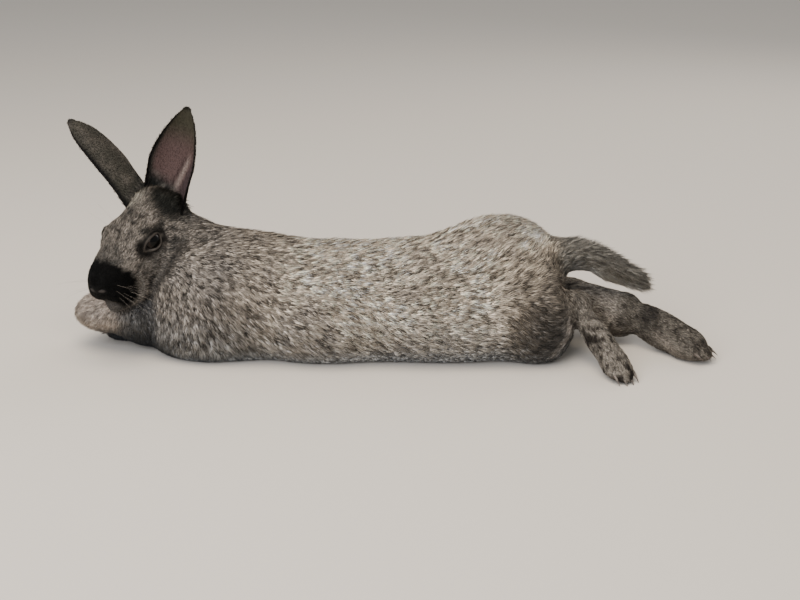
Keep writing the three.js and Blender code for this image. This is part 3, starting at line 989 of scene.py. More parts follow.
EAR_INSIDE_TIP = "#3e3b30"
EAR_HOLLOW_SHADE = "#3b3234"
EAR_FOLD = "#8b7d76"
EAR_FOLD_SHADE = "#2c2020"

FACE_SHARE = nearness("head", 3) * smooth_step(SKIN_IN_HEAD[:, 0], -44, -30)


def level_of(q, centre, radii):
    """0 in the middle of an ellipsoid and 1 on its surface."""
    return np.linalg.norm((q - np.array(centre, float)) / np.array(radii, float), axis=1)


def patch(q, centre, radii, edge=0.25):
    """1 inside an ellipsoid, falling to 0 across its soft edge."""
    return 1 - smooth_step(level_of(q, centre, radii), 1 - edge, 1 + edge)


def mark_body(lay):
    """Silver in uneven shades, darker at the neck and rump, bluish low down and darkened there with
    painted shade, a dark haunch.
    """
    x, y, z = SKIN.T
    lay(SHADE, 0.15 + 0.3 * BLOTCHES + 0.2 * WIDE_NOISE)
    lay(NECK, 0.72 * (1 - smooth_step(x, -170, -85)))
    # bluish grey fur low on the body, with painted shade that darkens it towards the floor
    lay(BELLY_FUR_AND_SHADE, 0.5 * (1 - smooth_step(z, 20, 66)))
    lay(BELLY_FUR_AND_SHADE, 0.6 * (1 - smooth_step(z, 6, 28)), 0.7)
    haunch = patch(SKIN, (126, 0, 34), (36, 130, 40), 0.35)
    rump = 0.42 * smooth_step(x, 60, 100) + 0.5 * smooth_step(x, 112, 138)
    lay(RUMP, rump * (1 - haunch) * (1 - smooth_step(z, 80, 104)))
    lay(THIGH, 0.85 * haunch, 0.7)
    ripple = np.sin(np.hypot(x - 96, z - 50) / 1.9 + 2.2 * BLOTCHES)
    lay(THIGH_RIPPLE, 0.5 * haunch * smooth_step(ripple, 0.1, 0.9))
    rim = [(150, 0, 44), (149, 0, 32), (143, 0, 20), (134, 0, 11)]
    lay(THIGH_RIM, 0.7 * stroke(SKIN * (1, 0, 1), rim, 3) * (np.abs(y) > 30))


def mark_tail(lay):
    """Grey above, paler under it, and painted shadow under its root."""
    x, _, z = SKIN.T
    near, down = nearness("tail", 4), -SKIN_NORMAL[:, 2]
    lay(TAIL_TOP, near * smooth_step(x, 128, 146), 0.8)
    lay(TAIL_UNDER, near * smooth_step(x, 134, 148) * smooth_step(down, 0.1, 0.6), 0.5)
    # painted shadow on the underside of the tail's root, where it overhangs the rump
    root = smooth_step(x, 130, 142) * (1 - smooth_step(x, 150, 176)) * (z > 56)
    lay(TAIL_ROOT_SHADOW, 0.8 * root * smooth_step(down, -0.2, 0.5), 0.4)


def mark_legs(lay):
    """Dark forelegs, the near one deepened with painted shade under the dewlap, a far shank paled with
    painted light, and grey hind feet with dark flecks, a dark hock and a pale band.
    """
    x = SKIN[:, 0]
    flecks = smooth_step(SPECKS + 0.5 * BLOTCHES, -0.1, 0.45)
    heel = 1 - 0.6 * patch(SKIN, (162, -34, 50), (20, 20, 18), 0.4)
    for name, colour, flecked in (("hind_left", FOOT, 1), ("hind_right", FAR_FOOT, 0.65)):
        own = nearness(name, 3) * smooth_step(x, 146, 156)
        lay(colour, own, 0.75)
        if name == "hind_right":
            # painted light: the far shank is made paler to make up for the shade that the tail casts on
            # it
            lay(FAR_SHANK_PAINTED_LIGHT, 0.6 * own * (1 - smooth_step(x, 190, 215)))
        lay(FOOT_SHADE, flecked * own * heel * flecks)
    # the near foreleg: dark blue-grey fur, darkened further with painted shade under the dewlap
    lay(FORELEG_FUR_AND_SHADE, nearness("fore_left", 3), 0.5)
    lay(FAR_FORELEG, nearness("fore_right", 3), 0.5)
    lay(HOCK, 0.75 * patch(SKIN, (228, -13, 33), (9, 12, 10), 0.5))
    lay(FOOT_BAND, 0.6 * stroke(SKIN, [(232, -30, 16), (246, -38, 10), (262, -48, 6)], 6))


def mark_face(lay):
    """Finely mottled grey, darker on the cheek."""
    lay(FACE, FACE_SHARE, 0.85)
    lay(FACE_SHADE, FACE_SHARE * (0.28 + 0.75 * SPECKS + 0.4 * BLOTCHES))
    lay(FACE_SHADE, 0.3 * FACE_SHARE * patch(HEAD_SIDES, (4, 32, -14), (22, 16, 18), 0.5))


def mark_dewlap(lay):
    """Pale in front, slate towards the throat, with painted shadow where it meets the chin, and painted
    shade low on the chest where it meets the floor.
    """
    x, on_dewlap = SKIN[:, 0], nearness("dewlap", 4)
    lay(DEWLAP, on_dewlap * (1 - smooth_step(x, -262, -244)), 0.55)
    lay(DEWLAP_SHADE, on_dewlap * (0.08 + 0.25 * BLOTCHES + 0.25 * SPECKS))
    lay(DEWLAP_SLATE, 0.7 * on_dewlap * smooth_step(x, -258, -240), 0.6)
    # painted shadow that the chin casts on the dewlap
    lay(CHIN_SHADOW, 0.6 * on_dewlap * patch(SKIN_IN_HEAD, (46, 0, -46), (14, 16, 9), 0.5))
    off_face = 1 - FACE_SHARE
    # painted shade under the chest, where it rests on the floor
    lay(CHEST_FLOOR_SHADE, off_face * patch(SKIN, (-248, -18, 4), (60, 44, 12), 0.3), 0.3)
    # slate-blue fur low on the throat, darkened further with painted shadow under the dewlap
    lay(THROAT_SLATE_AND_SHADOW, 0.85 * off_face * patch(SKIN, (-238, -26, 8), (38, 44, 24), 0.4), 0.3)


def mark_crown(lay):
    """Dark fur round the roots of the ears with a pale tuft between them, and painted shade in a crease
    on the cheek.
    """
    roots = patch(HEAD_SIDES, (-41, 17, 24), (20, 18, 22), 0.35)
    lay(EAR_ROOT, 0.95 * nearness("head", 6) * roots, 0.4)
    lay(FACE_SHADE, 0.7 * FACE_SHARE * patch(HEAD_SIDES, (36, 0, 6), (15, 14, 12), 0.5))
    tuft = patch(SKIN_IN_HEAD, (-25, -10, 30), (9, 12, 9), 0.45)
    lay(CROWN_TUFT, tuft * (0.75 + 0.7 * SPECKS))
    crease = [(-14, 40, -6), (8, 34, -20), (20, 20, -38), (30, 11, -50)]
    # painted shade along the crease where the cheek meets the neck
    lay(CHEEK_CREASE_SHADE, 0.75 * stroke(HEAD_SIDES, crease, 3.8), 0.4)


def mark_muzzle(lay):
    """One black patch over whisker pads, nose and lip, with a pale band under it and a grey chin."""
    pad, tip, lip = (
        level_of(q, centre, radii) + 0.12 * SPECKS
        for q, centre, radii in (
            (HEAD_SIDES, (44, 13, -18.5), (15.5, 12, 21.5)),
            (HEAD_SIDES, (54, 5, -1), (16, 12, 16)),
            (SKIN_IN_HEAD, (54, 0, -18), (12, 12, 16)),
        )
    )
    dark = blend(0.45, pad, tip, lip)
    lay(PALE_BAND, 0.75 * bell(dark - 1.26, 0.1) * (HEAD_SIDES[:, 2] < -10), 0.3)
    lay(MUZZLE, 1 - smooth_step(dark, 0.84, 1.17), 0.3)
    lay(CHIN, 0.9 * patch(SKIN_IN_HEAD, (50, 0, -38), (17, 8.5, 13), 0.3), 0.6)
    lay(NOSTRIL, 0.85 * patch(HEAD_SIDES, (60, 5.5, -11), (3.2, 3.2, 1.4), 0.5))


def mark_eyes(lay):
    """Dark fur before and behind each eye with a ring of painted shade round the socket, round the
    opening a greyish rim of bare lid, and painted shade inside the opening.
    """
    lay(EYE_FUR_AND_SHADE, 0.92 * patch(HEAD_SIDES, (15, 23, 4.5), (8, 9, 8.5), 0.4), 0.2)
    lay(EYE_FUR_AND_SHADE, 0.6 * patch(HEAD_SIDES, (-1, 26, 13), (14, 9, 5.5), 0.4), 0.2)
    for away, close in LID_PLACES:
        # painted shade in a ring round the socket, outside the lids
        lay(EYE_FUR_AND_SHADE, 0.9 * close * bell(away - 2.6, 1.7), 0.1)
        lay(LID_RIM, 0.9 * close * bell(away - 0.8, 0.42), 0.1)
        # painted shade on the skin inside the lids' opening, behind the eyeball
        lay(LID_OPENING_SHADE, close * (1 - smooth_step(away, -0.2, 0.35)), 0)


def mark_ears(lay):
    """Dark outside with paler blotches, brownish pink inside with a pale ridge, painted shade in the
    hollow by its root and beside the ridge, a black edge.
    """
    along, across, inside = EAR_PLACE.T
    lay(EAR_BACK, ON_EAR, 0.45)
    lay(EAR_BACK_PALE, ON_EAR * (0.1 + 0.5 * BLOTCHES + 0.35 * SPECKS))
    lay(EAR_INSIDE, inside * (1 - smooth_step(np.abs(across), 0.72, 0.92)), 0.2)
    lay(EAR_INSIDE_TIP, inside * smooth_step(along, 0.55, 0.85))
    ridge = 0.07 + 1.25 * (along - 0.2)
    low = inside * (1 - smooth_step(along, 0.46, 0.62))
    # painted shade deep in the hollow by the ear's root, and a painted shadow beside the ridge
    lay(EAR_HOLLOW_SHADE, 0.75 * low * smooth_step(across, ridge + 0.1, ridge + 0.3))
    lay(EAR_FOLD, 0.85 * low * bell(across - ridge, 0.1))
    lay(EAR_FOLD_SHADE, 0.7 * low * bell(across - ridge + 0.17, 0.07))
    furred = ON_EAR * (1 - smooth_step(along + 0.12 * across, 0.17, 0.32))
    lay(EAR_ROOT, furred, 0.5)
    lay(FACE, furred * (0.1 + 0.4 * SPECKS))
    edge = np.maximum(smooth_step(np.abs(across), 0.78, 0.95), 0.8 * smooth_step(along, 0.94, 1.0))
    lay(EAR_EDGE, ON_EAR * edge, 0.1)


def markings():
    """Colour of each point, and in the fourth place how strongly single hairs differ from it."""
    marks = np.ones((len(SKIN), 4))
    marks[:, :3] = hex_colour(SILVER)

    def lay(code, share, strength=None):
        share = np.clip(share, 0, 1)[:, None]
        marks[:, :3] += (hex_colour(code) - marks[:, :3]) * share
        if strength is not None:
            marks[:, 3:] += (strength - marks[:, 3:]) * share

    mark_body(lay)
    mark_tail(lay)
    mark_legs(lay)
    mark_face(lay)
    mark_dewlap(lay)
    mark_crown(lay)
    mark_muzzle(lay)
    mark_eyes(lay)
    mark_ears(lay)
    return np.clip(marks, (0.002, 0.002, 0.002, 0), 1)


# ---- Coat: small closed locks planted over the skin ----------------------------------------------

BODY_PARTS = ("chest", "shoulder", "ribs", "loin", "rump")
BODY_BANDS = [-168, -96, -12, 70]  # where one part of the body's coat gives way to the next
FINE = ("coat_face", "coat_ears", "coat_legs")
PIECES = [f"coat_{part}_{side}" for part in BODY_PARTS for side in ("left", "right")]
PIECES += ["coat_tail", *FINE]
BAKE_PATCH = 0.003  # size of a lock's own patch in the map named OFBake
COAT_OFF_FLOOR = 0.15

# For each region: locks in a square millimetre, their length and width in mm, and lift in degrees.
REGIONS = {
    "body": (0.45, 12.0, 1.05, 12),
    "chest": (0.44, 10.0, 1.0, 15),
    "dewlap": (0.5, 7.5, 0.9, 11),
    "tail": (1.1, 13.0, 0.7, 15),
    "head": (1.25, 4.6, 0.6, 12),
    "muzzle": (1.6, 2.4, 0.42, 12),
    "ear": (0.75, 3.0, 0.55, 7),
    "leg": (0.7, 5.0, 0.75, 10),
}


def region_weights():
    """The share of each region at each point; together they make 1."""
    p, q = SKIN, SKIN_IN_HEAD
    head = np.where(ON_EAR, 1, nearness("head", 3) * smooth_step(q[:, 0], -44, -26))
    leg = np.max([nearness(name, 3) for name in LEGS], 0)
    leg = leg * np.maximum(smooth_step(p[:, 0], 150, 162), 1 - smooth_step(p[:, 2], 16, 26))
    leg = leg * ((p[:, 0] > 140) | (p[:, 0] < -200))
    shares = {
        "chest": smooth_step(-p[:, 0], 170, 215),
        "dewlap": nearness("dewlap", 4) * (1 - smooth_step(p[:, 0], -262, -236)),
        "leg": leg,
        "tail": nearness("tail", 4) * smooth_step(p[:, 0], 132, 150),
        "head": head,
        "muzzle": head * smooth_step(q[:, 0], 20, 42),
        "ear": ON_EAR * (0.25 + 0.75 * smooth_step(EAR_PLACE[:, 0], 0.14, 0.36)),
    }
    weights = {"body": np.ones(len(p))}
    for name, share in shares.items():
        for other in weights:
            weights[other] = weights[other] * (1 - share)
        weights[name] = share
    return weights


def piece_of_faces(weights):
    """The piece of the coat that each face of the skin carries."""
    corners = np.array([f.vertices[0] for f in skin_mesh.polygons])
    p = SKIN[corners]
    piece = np.searchsorted(BODY_BANDS, p[:, 0]) * 2 + (p[:, 1] > 0)
    head = weights["head"] + weights["muzzle"]
    for name, share in (("legs", weights["leg"]), ("tail", weights["tail"]), ("face", head)):
        piece[share[corners] > 0.5] = PIECES.index(f"coat_{name}")
    piece[ON_EAR[corners]] = PIECES.index("coat_ears")
    return piece


def dress_skin():
    """Gives every point of the skin what the coat's locks need to know."""
    x, _, z = SKIN.T
    weights = region_weights()
    density, length, width, lift = (
        sum(weights[region] * sizes[i] for region, sizes in REGIONS.items()) for i in range(4)
    )
    density *= smooth_step(z, 1.2, 5)
    length *= 0.45 + 0.55 * smooth_step(z, 2, 26)
    lift *= 0.5 + 0.5 * smooth_step(z, 4, 30)
    groin = np.maximum(nearness("hind_left", 12), nearness("hind_right", 12))
    groin = groin * smooth_step(x, 128, 146) * (weights["body"] > 0.3)
    length *= 1 - 0.5 * groin
    length *= 1 + 0.3 * weights["tail"] * smooth_step(x, 196, 222)
    lift *= 1 + 0.6 * weights["tail"] * SKIN_NORMAL[:, 2]
    for away, close in LID_PLACES:
        density *= np.where(close, smooth_step(away, 1.6, 3.2), 1)
        length *= np.where(close, 0.45 + 0.55 * smooth_step(away, 2, 9), 1)
    density *= 1 - patch(HEAD_SIDES, (61, 4.5, -10), (4, 5, 4))  # bare nostrils
    inside = EAR_PLACE[:, 2] * (np.abs(EAR_PLACE[:, 1]) < 0.8)
    density *= 1 - 0.6 * inside
    length *= 1 - 0.35 * inside
    length *= 1 - 0.5 * ON_EAR * smooth_step(EAR_PLACE[:, 0], 0.8, 0.95)
    store(skin_mesh, "density", density / MM**2)
    store(skin_mesh, "length", length * MM)
    store(skin_mesh, "width", width * MM)
    store(skin_mesh, "lift", np.radians(lift))
    store(skin_mesh, "lie", lie_of_coat(), "FLOAT_VECTOR")
    store(skin_mesh, "marks", markings(), "FLOAT_COLOR")
    store(skin_mesh, "piece", piece_of_faces(weights), "INT", "FACE")


def lay_flat(obj, name):
    """Cuts the surface into shells and lays them side by side in a UV map."""
    obj.data.uv_layers.new(name=name)
    bpy.context.view_layer.objects.active = obj
    obj.select_set(True)
    bpy.ops.object.mode_set(mode="EDIT")
    bpy.ops.mesh.select_all(action="SELECT")
    bpy.ops.uv.smart_project(angle_limit=math.radians(66), island_margin=0.003)
    bpy.ops.object.mode_set(mode="OBJECT")
    obj.select_set(False)


LOCK_MIDDLE = 0.4  # share of a strand's length at which it is widest


def lock_form(name, strands):
    """Closed spindles from a root at the origin along +X: each strand is its length, its width, how far
    its tip goes sideways, and how far its middle stands up, with widths as the unit across."""
    points, faces, along, spots = [], [], [], []
    for length, width, aside, rise in strands:
        first = len(points)
        points.append((0, 0, -0.3))
        for k in range(3):
            turn = 2 * math.pi * (k + 0.5) / 3
            y = 0.35 * aside + 0.5 * width * math.sin(turn)
            points.append((LOCK_MIDDLE * length, y, rise + 0.28 * width * math.cos(turn)))
        points.append((length, aside, rise * 0.35))
        along += [0, 0.45, 0.45, 0.45, 1]
        for k in range(3):
            a, b = k, (k + 1) % 3
            faces.append((first, first + 1 + b, first + 1 + a))
            spots += [(0, (k + 0.5) / 3), (0.45, (k + 1) / 3), (0.45, k / 3)]
            faces.append((first + 4, first + 1 + a, first + 1 + b))
            spots += [(1, (k + 0.5) / 3), (0.45, k / 3), (0.45, (k + 1) / 3)]
    mesh = mesh_of(name, points, faces)
    store(mesh, "along", along)
    store(mesh, "spot", [(u, v, 0) for u, v in spots], "FLOAT_VECTOR", "CORNER")
    return object_of(name, mesh)


def lock_set(name, kinds):
    """A collection of locks to pick from."""
    chosen = bpy.data.collections.new(name)
    for i, strands in enumerate(kinds):
        lock = lock_form(f"{name}_{i + 1}", strands)
        bpy.context.scene.collection.objects.unlink(lock)
        chosen.objects.link(lock)
    return chosen


# How far single locks differ: their turn in radians, shares of their sizes, and the tick that picks
# their tone.
LOCK_CHANCES = {
    "turn": (-0.3, 0.3),
    "lift": (0.55, 1.6),
    "length": (0.72, 1.28),
    "width": (0.7, 1.35),
    "tick": (0.0, 1.0),
}


def coat_tree():
    """Plants locks at random on one piece of the skin, and turns each one to the lie of the coat."""
    tree = bpy.data.node_groups.new("coat", "GeometryNodeTree")
    kinds = {
        "Skin": "NodeSocketGeometry",
        "Piece": "NodeSocketInt",
        "Seed": "NodeSocketInt",
        "Locks": "NodeSocketCollection",
        "Hair": "NodeSocketMaterial",
        "Off the floor": "NodeSocketFloat",
        "Bake patch": "NodeSocketFloat",
    }
    names = {
        name: tree.interface.new_socket(name, in_out="INPUT", socket_type=kind).identifier
        for name, kind in kinds.items()
    }
    tree.interface.new_socket("Coat", in_out="OUTPUT", socket_type="NodeSocketGeometry")
    given = add_node(tree, "NodeGroupInput").outputs
    attributes = {"piece": "INT"}
    attributes.update(dict.fromkeys(("density", "length", "width", "lift"), "FLOAT"))
    attributes.update(dict.fromkeys(("lie", "unwrap", "spot"), "FLOAT_VECTOR"))
    read = {
        name: out(add_node(tree, "GeometryNodeInputNamedAttribute", {"Name": name}, data_type=kind))
        for name, kind in attributes.items()
    }
    chance = {
        name: add_node(
            tree, "FunctionNodeRandomValue", {2: low, 3: high, 8: seed}, data_type="FLOAT"
        ).outputs[1]
        for seed, (name, (low, high)) in enumerate(LOCK_CHANCES.items(), 1)
    }

    # Roots, each with its tick
    chosen = add_node(
        tree,
        "FunctionNodeCompare",
        {2: read["piece"], 3: given["Piece"]},
        data_type="INT",
        operation="EQUAL",
    )
    plant = add_node(
        tree,
        "GeometryNodeDistributePointsOnFaces",
        {
            "Mesh": given["Skin"],
            "Selection": out(chosen),
            "Density": read["density"],
            "Seed": given["Seed"],
        },
    )
    normal = plant.outputs["Normal"]
    ticked = add_node(
        tree,
        "GeometryNodeStoreNamedAttribute",
        {"Geometry": plant.outputs["Points"], "Name": "tick", "Value": chance["tick"]},
        data_type="FLOAT",
        domain="POINT",
    )

    # The way and size of each lock
    lift, length, width = (
        out(add_node(tree, "ShaderNodeMath", {0: read[name], 1: chance[name]}, operation="MULTIPLY"))
        for name in ("lift", "length", "width")
    )
    turned = add_node(
        tree,
        "ShaderNodeVectorRotate",
        {"Vector": read["lie"], "Axis": normal, "Angle": chance["turn"]},
        rotation_type="AXIS_ANGLE",
    )
    flat, away = (
        add_node(
            tree,
            "ShaderNodeVectorMath",
            {0: way, "Scale": out(add_node(tree, "ShaderNodeMath", {0: lift}, operation=share))},
            operation="SCALE",
        )
        for way, share in ((out(turned), "COSINE"), (normal, "SINE"))
    )
    along = add_node(tree, "ShaderNodeVectorMath", {0: out(flat), 1: out(away)}, operation="ADD")
    turn = add_node(
        tree,
        "FunctionNodeAxesToRotation",
        {"Primary Axis": out(along), "Secondary Axis": normal},
        primary_axis="X",
        secondary_axis="Z",
    )
    size = add_node(tree, "ShaderNodeCombineXYZ", {"X": length, "Y": width, "Z": width})
    locks = add_node(
        tree,
        "GeometryNodeCollectionInfo",
        {"Collection": given["Locks"], "Separate Children": True, "Reset Children": True},
    )
    planted = add_node(
        tree,
        "GeometryNodeInstanceOnPoints",
        {
            "Points": out(ticked),
            "Instance": out(locks),
            "Pick Instance": True,
            "Rotation": out(turn),
            "Scale": out(size),
        },
    )
    coat = add_node(tree, "GeometryNodeRealizeInstances", {"Geometry": out(planted)})

    # No tip under the floor
    here = add_node(tree, "GeometryNodeInputPosition")
    place = add_node(tree, "ShaderNodeSeparateXYZ", {0: out(here)}).outputs
    above = add_node(
        tree, "ShaderNodeMath", {0: place[2], 1: given["Off the floor"]}, operation="MAXIMUM"
    )
    kept = add_node(tree, "ShaderNodeCombineXYZ", {"X": place[0], "Y": place[1], "Z": out(above)})
    coat = add_node(tree, "GeometryNodeSetPosition", {"Geometry": out(coat), "Position": out(kept)})

    # A small patch for each lock at its root's place on the unwrapped skin
    spot = add_node(
        tree,
        "ShaderNodeVectorMath",
        {0: read["spot"], "Scale": given["Bake patch"]},
        operation="SCALE",
    )
    unwrapped = add_node(
        tree, "ShaderNodeVectorMath", {0: read["unwrap"], 1: out(spot)}, operation="ADD"
    )
    coat = add_node(
        tree,
        "GeometryNodeStoreNamedAttribute",
        {"Geometry": out(coat), "Name": "OFBake", "Value": out(unwrapped)},
        data_type="FLOAT2",
        domain="CORNER",
    )
    for name in (*attributes, "ear_place", "sharp_face"):
        coat = add_node(tree, "GeometryNodeRemoveAttribute", {"Geometry": out(coat), "Name": name})
    coat = add_node(
        tree, "GeometryNodeSetMaterial", {"Geometry": out(coat), "Material": given["Hair"]}
    )
    add_node(tree, "NodeGroupOutput", {"Coat": out(coat)})
    return tree, names


# The strands of each kind of lock, as lock_form takes them.
BODY_LOCKS = [
    [(1.0, 1.0, 0.2, 0.5), (0.82, 0.7, 1.9, 0.3), (0.88, 0.7, -1.7, 0.4)],
    [(0.95, 0.9, -0.5, 0.7), (0.75, 0.75, 1.5, 0.4), (1.05, 0.6, -2.1, 0.3)],
    [(1.05, 0.9, 0.6, 0.4), (0.7, 0.8, -1.4, 0.6), (0.9, 0.6, 2.3, 0.4)],
    [(0.9, 1.1, 0.0, 0.8), (1.0, 0.6, 1.2, 0.5), (0.8, 0.7, -2.2, 0.4)],
]
FINE_LOCKS = [
    [(1.0, 1.0, 0.3, 0.5)],
    [(0.9, 1.1, -0.6, 0.6)],
    [(1.1, 0.8, 0.8, 0.4)],
    [(0.8, 1.0, -0.2, 0.8)],
]
# Tone of a lock by its tick: a half keeps the marks' colour, and less or more darkens or lightens it.
TICK_TONES = {0: 0.06, 0.22: 0.1, 0.32: 0.33, 0.62: 0.5, 0.78: 0.86, 1: 1.0}
PALEST = 0.9  # the lightest that a lock's colour gets


def hair_material():
    """Ticked rabbit hair, with the soft gleam of smooth guard hairs: each lock is darker at its root,
    and single locks are paler or blacker. A lock, about 1 mm across, stands for many finer hairs."""
    material, tree, shader = new_material("ticked rabbit hair")
    marks, tick, along = (
        add_node(tree, "ShaderNodeAttribute", attribute_name=name).outputs
        for name in ("marks", "tick", "along")
    )
    tone = add_node(tree, "ShaderNodeValToRGB", {"Fac": tick["Fac"]})
    set_stops(tone.color_ramp, {place: [value] * 3 for place, value in TICK_TONES.items()})
    light = out(tone)
    for operation, value in (
        ("MULTIPLY", 2.0),
        ("SUBTRACT", 1.0),
        ("MULTIPLY", marks["Alpha"]),
        ("ADD", 1.0),
    ):
        light = out(add_node(tree, "ShaderNodeMath", {0: light, 1: value}, operation=operation))
    root = add_node(
        tree, "ShaderNodeMapRange", {"Value": along["Fac"], 1: 0.0, 2: 0.8, 3: 0.45, 4: 1.0}
    )
    light = add_node(tree, "ShaderNodeMath", {0: light, 1: out(root)}, operation="MULTIPLY")
    colour = add_node(
        tree, "ShaderNodeVectorMath", {0: marks["Color"], "Scale": out(light)}, operation="SCALE"
    )
    kept = add_node(
        tree, "ShaderNodeVectorMath", {0: out(colour), 1: [PALEST] * 3}, operation="MINIMUM"
    )
    set_inputs(tree, shader, {"Base Color": out(kept), "Roughness": 0.6, "Specular IOR Level": 0.08})
    return material


def skin_material():
    """The short dense underwool: the coat's own markings, matt, with a fine felt of hairs 0.8 mm across
    that is drawn a little coarse."""
    material, tree, shader = new_material("rabbit underwool")
    marks = add_node(tree, "ShaderNodeAttribute", attribute_name="marks").outputs
    where = add_node(tree, "ShaderNodeTexCoord").outputs["Object"]
    felt = add_node(
        tree, "ShaderNodeTexNoise", {"Vector": where, "Scale": 1 / (0.8 * MM), "Detail": 3.0}
    )
    light = add_node(tree, "ShaderNodeMapRange", {"Value": out(felt), 1: 0.3, 2: 0.7, 3: 0.5, 4: 0.95})
    colour = add_node(
        tree, "ShaderNodeVectorMath", {0: marks["Color"], "Scale": out(light)}, operation="SCALE"
    )
    bump = add_node(
        tree, "ShaderNodeBump", {"Strength": 0.5, "Distance": 0.4 * MM, "Height": out(felt)}
    )
    set_inputs(
        tree,
        shader,
        {
            "Base Color": out(colour),
            "Normal": out(bump),
            "Roughness": 0.75,
            "Specular IOR Level": 0.1,
        },
    )
    return material


def grow_coat(hair):
    """Plants each piece of the coat on its own faces of the skin."""
    tree, names = coat_tree()
    body_locks, fine_locks = lock_set("body_lock", BODY_LOCKS), lock_set("fine_lock", FINE_LOCKS)
    grown = []
    for i, name in enumerate(PIECES):
        planting = skin.modifiers.new("coat", "NODES")
        planting.node_group = tree
        given = {
            "Piece": i,
            "Seed": SEED + i,
            "Locks": fine_locks if name in FINE else body_locks,
            "Hair": hair,
            "Off the floor": COAT_OFF_FLOOR * MM,
            "Bake patch": BAKE_PATCH,
        }
        for socket, value in given.items():
            planting[names[socket]] = value
        mesh = applied(skin)
        mesh.name = name
        grown.append(object_of(name, mesh))
    for locks in (body_locks, fine_locks):
        for lock in list(locks.objects):
            bpy.data.objects.remove(lock)
        bpy.data.collections.remove(locks)
    return grown


dress_skin()
lay_flat(skin, "unwrap")
coat = grow_coat(hair_material())
for attribute in ("density", "length", "width", "lift", "lie", "piece", "ear_place"):
    skin_mesh.attributes.remove(skin_mesh.attributes[attribute])
skin_mesh.uv_layers["unwrap"].name = "OFBake"
skin_mesh.materials.clear()
skin_mesh.materials.append(skin_material())

# ---- Eyes ----------------------------------------------------------------------------------------

CORNEA_RISE = 0.45
CORNEA_SPREAD = 0.65  # radians from the middle of the pupil
EYE_AROUND, EYE_RINGS = 48, 32
# Pupil, its edge, the iris and its dark outer ring, by the angle from the pupil's middle in radians.
IRIS = {0: "#030303", 0.6: "#030303", 0.66: "#0c0806", 0.8: "#150e09", 0.95: "#070505", 1: "#100c0b"}


def eyeball(name, side):
    """A ball with a bulging cornea; gaze is each point's angle from the middle of the pupil."""
    bm = bmesh.new()
    bmesh.ops.create_uvsphere(bm, u_segments=EYE_AROUND, v_segments=EYE_RINGS, radius=1)
    local = np.array([v.co for v in bm.verts])
    outward, front, _ = eye_axes(side)
    gaze = np.arccos(np.clip(local[:, 2], -1, 1))
    reach = EYE_RADIUS - 0.2 + CORNEA_RISE * bell(gaze, CORNEA_SPREAD)
    turned = local @ np.array([front, np.cross(outward, front), outward])
    for v, place in zip(bm.verts, to_metres(EYES[side] + turned * reach[:, None])):
        v.co = place
    mesh = bpy.data.meshes.new(name)
    bm.to_mesh(mesh)
    bm.free()
    mesh.shade_smooth()
    store(mesh, "gaze", gaze)
    store(mesh, "iris", local, "FLOAT_VECTOR")
    return object_of(name, mesh)


def eye_material():
    """A wet, clear cornea over a dark brown iris: mirror-smooth, and black in the pupil."""
    material, tree, shader = new_material("wet rabbit eye")
    gaze = add_node(tree, "ShaderNodeAttribute", attribute_name="gaze")
    iris = add_node(tree, "ShaderNodeAttribute", attribute_name="iris")
    streaks = add_node(
        tree, "ShaderNodeTexNoise", {"Vector": iris.outputs["Vector"], "Scale": 14.0, "Detail": 3.0}
    )
    ragged = add_node(tree, "ShaderNodeMath", {0: out(streaks), 1: 0.1}, operation="MULTIPLY")
    angle = add_node(
        tree, "ShaderNodeMath", {0: gaze.outputs["Fac"], 1: out(ragged)}, operation="ADD"
    )
    ring = add_node(tree, "ShaderNodeValToRGB", {"Fac": out(angle)})
    set_stops(ring.color_ramp, {place: hex_colour(code) for place, code in IRIS.items()})
    set_inputs(
        tree,
        shader,
        {"Base Color": out(ring), "Roughness": 0.06, "IOR": 1.38, "Specular IOR Level": 0.22},
    )
    return material


# ---- Whiskers and claws --------------------------------------------------------------------------

WHISKER_THICK = 0.07
WHISKER_RINGS, WHISKER_AROUND = 7, 3
WHISKER_INSET = 0.8  # the share of the way out at which a root lies, inside the skin
WHISKER_ROOT = 5  # length hidden in the skin
WHISKER_DROOP = (0.25, 0, -1.0)
WHISKER_SAG = 0.16  # droop at the tip, as a share of the length
# Roots on the left whisker pad in the head's axes, and each whisker's way and length.
WHISKERS = [
    ((50, 17, -9), (0.25, 1.0, 0.12), 36),
    ((47, 18, -12), (0.1, 1.0, 0.02), 44),
    ((43, 19, -14), (-0.05, 1.0, -0.05), 50),
    ((52, 15, -13), (0.3, 1.0, -0.12), 34),
    ((48, 17, -17), (0.12, 1.0, -0.2), 42),
    ((43, 18, -19), (-0.1, 1.0, -0.26), 48),
    ((38, 18, -17), (-0.3, 1.0, -0.12), 46),
    ((51, 13, -18), (0.3, 1.0, -0.38), 30),
    ((46, 15, -22), (0.05, 1.0, -0.45), 36),
    ((38, 16, -23), (-0.2, 1.0, -0.42), 38),
    ((6, 20, 22), (0.1, 0.75, 0.7), 24),
    ((-1, 20, 23), (-0.15, 0.7, 0.75), 28),
]


def whisker_points(place, way, length, side):
    """Rings of points along one whisker, thinner to its tip."""
    root = from_head(place[0], side * place[1] * WHISKER_INSET, place[2])
    heading = unit(np.array((way[0], side * way[1], way[2])) @ HEAD)
    droop = np.array(WHISKER_DROOP) * length * WHISKER_SAG
    across = unit(np.cross(heading, (0, 0, 1)))
    upward = np.cross(across, heading)
    points = []
    for i in range(WHISKER_RINGS):
        t = i / (WHISKER_RINGS - 1)
        middle = root + heading * (length + WHISKER_ROOT) * t + droop * t * t
        thick = WHISKER_THICK * (1 - 0.85 * t)
        for k in range(WHISKER_AROUND):
            turn = 2 * math.pi * k / WHISKER_AROUND
            points.append(middle + thick * (across * math.cos(turn) + upward * math.sin(turn)))
    return points


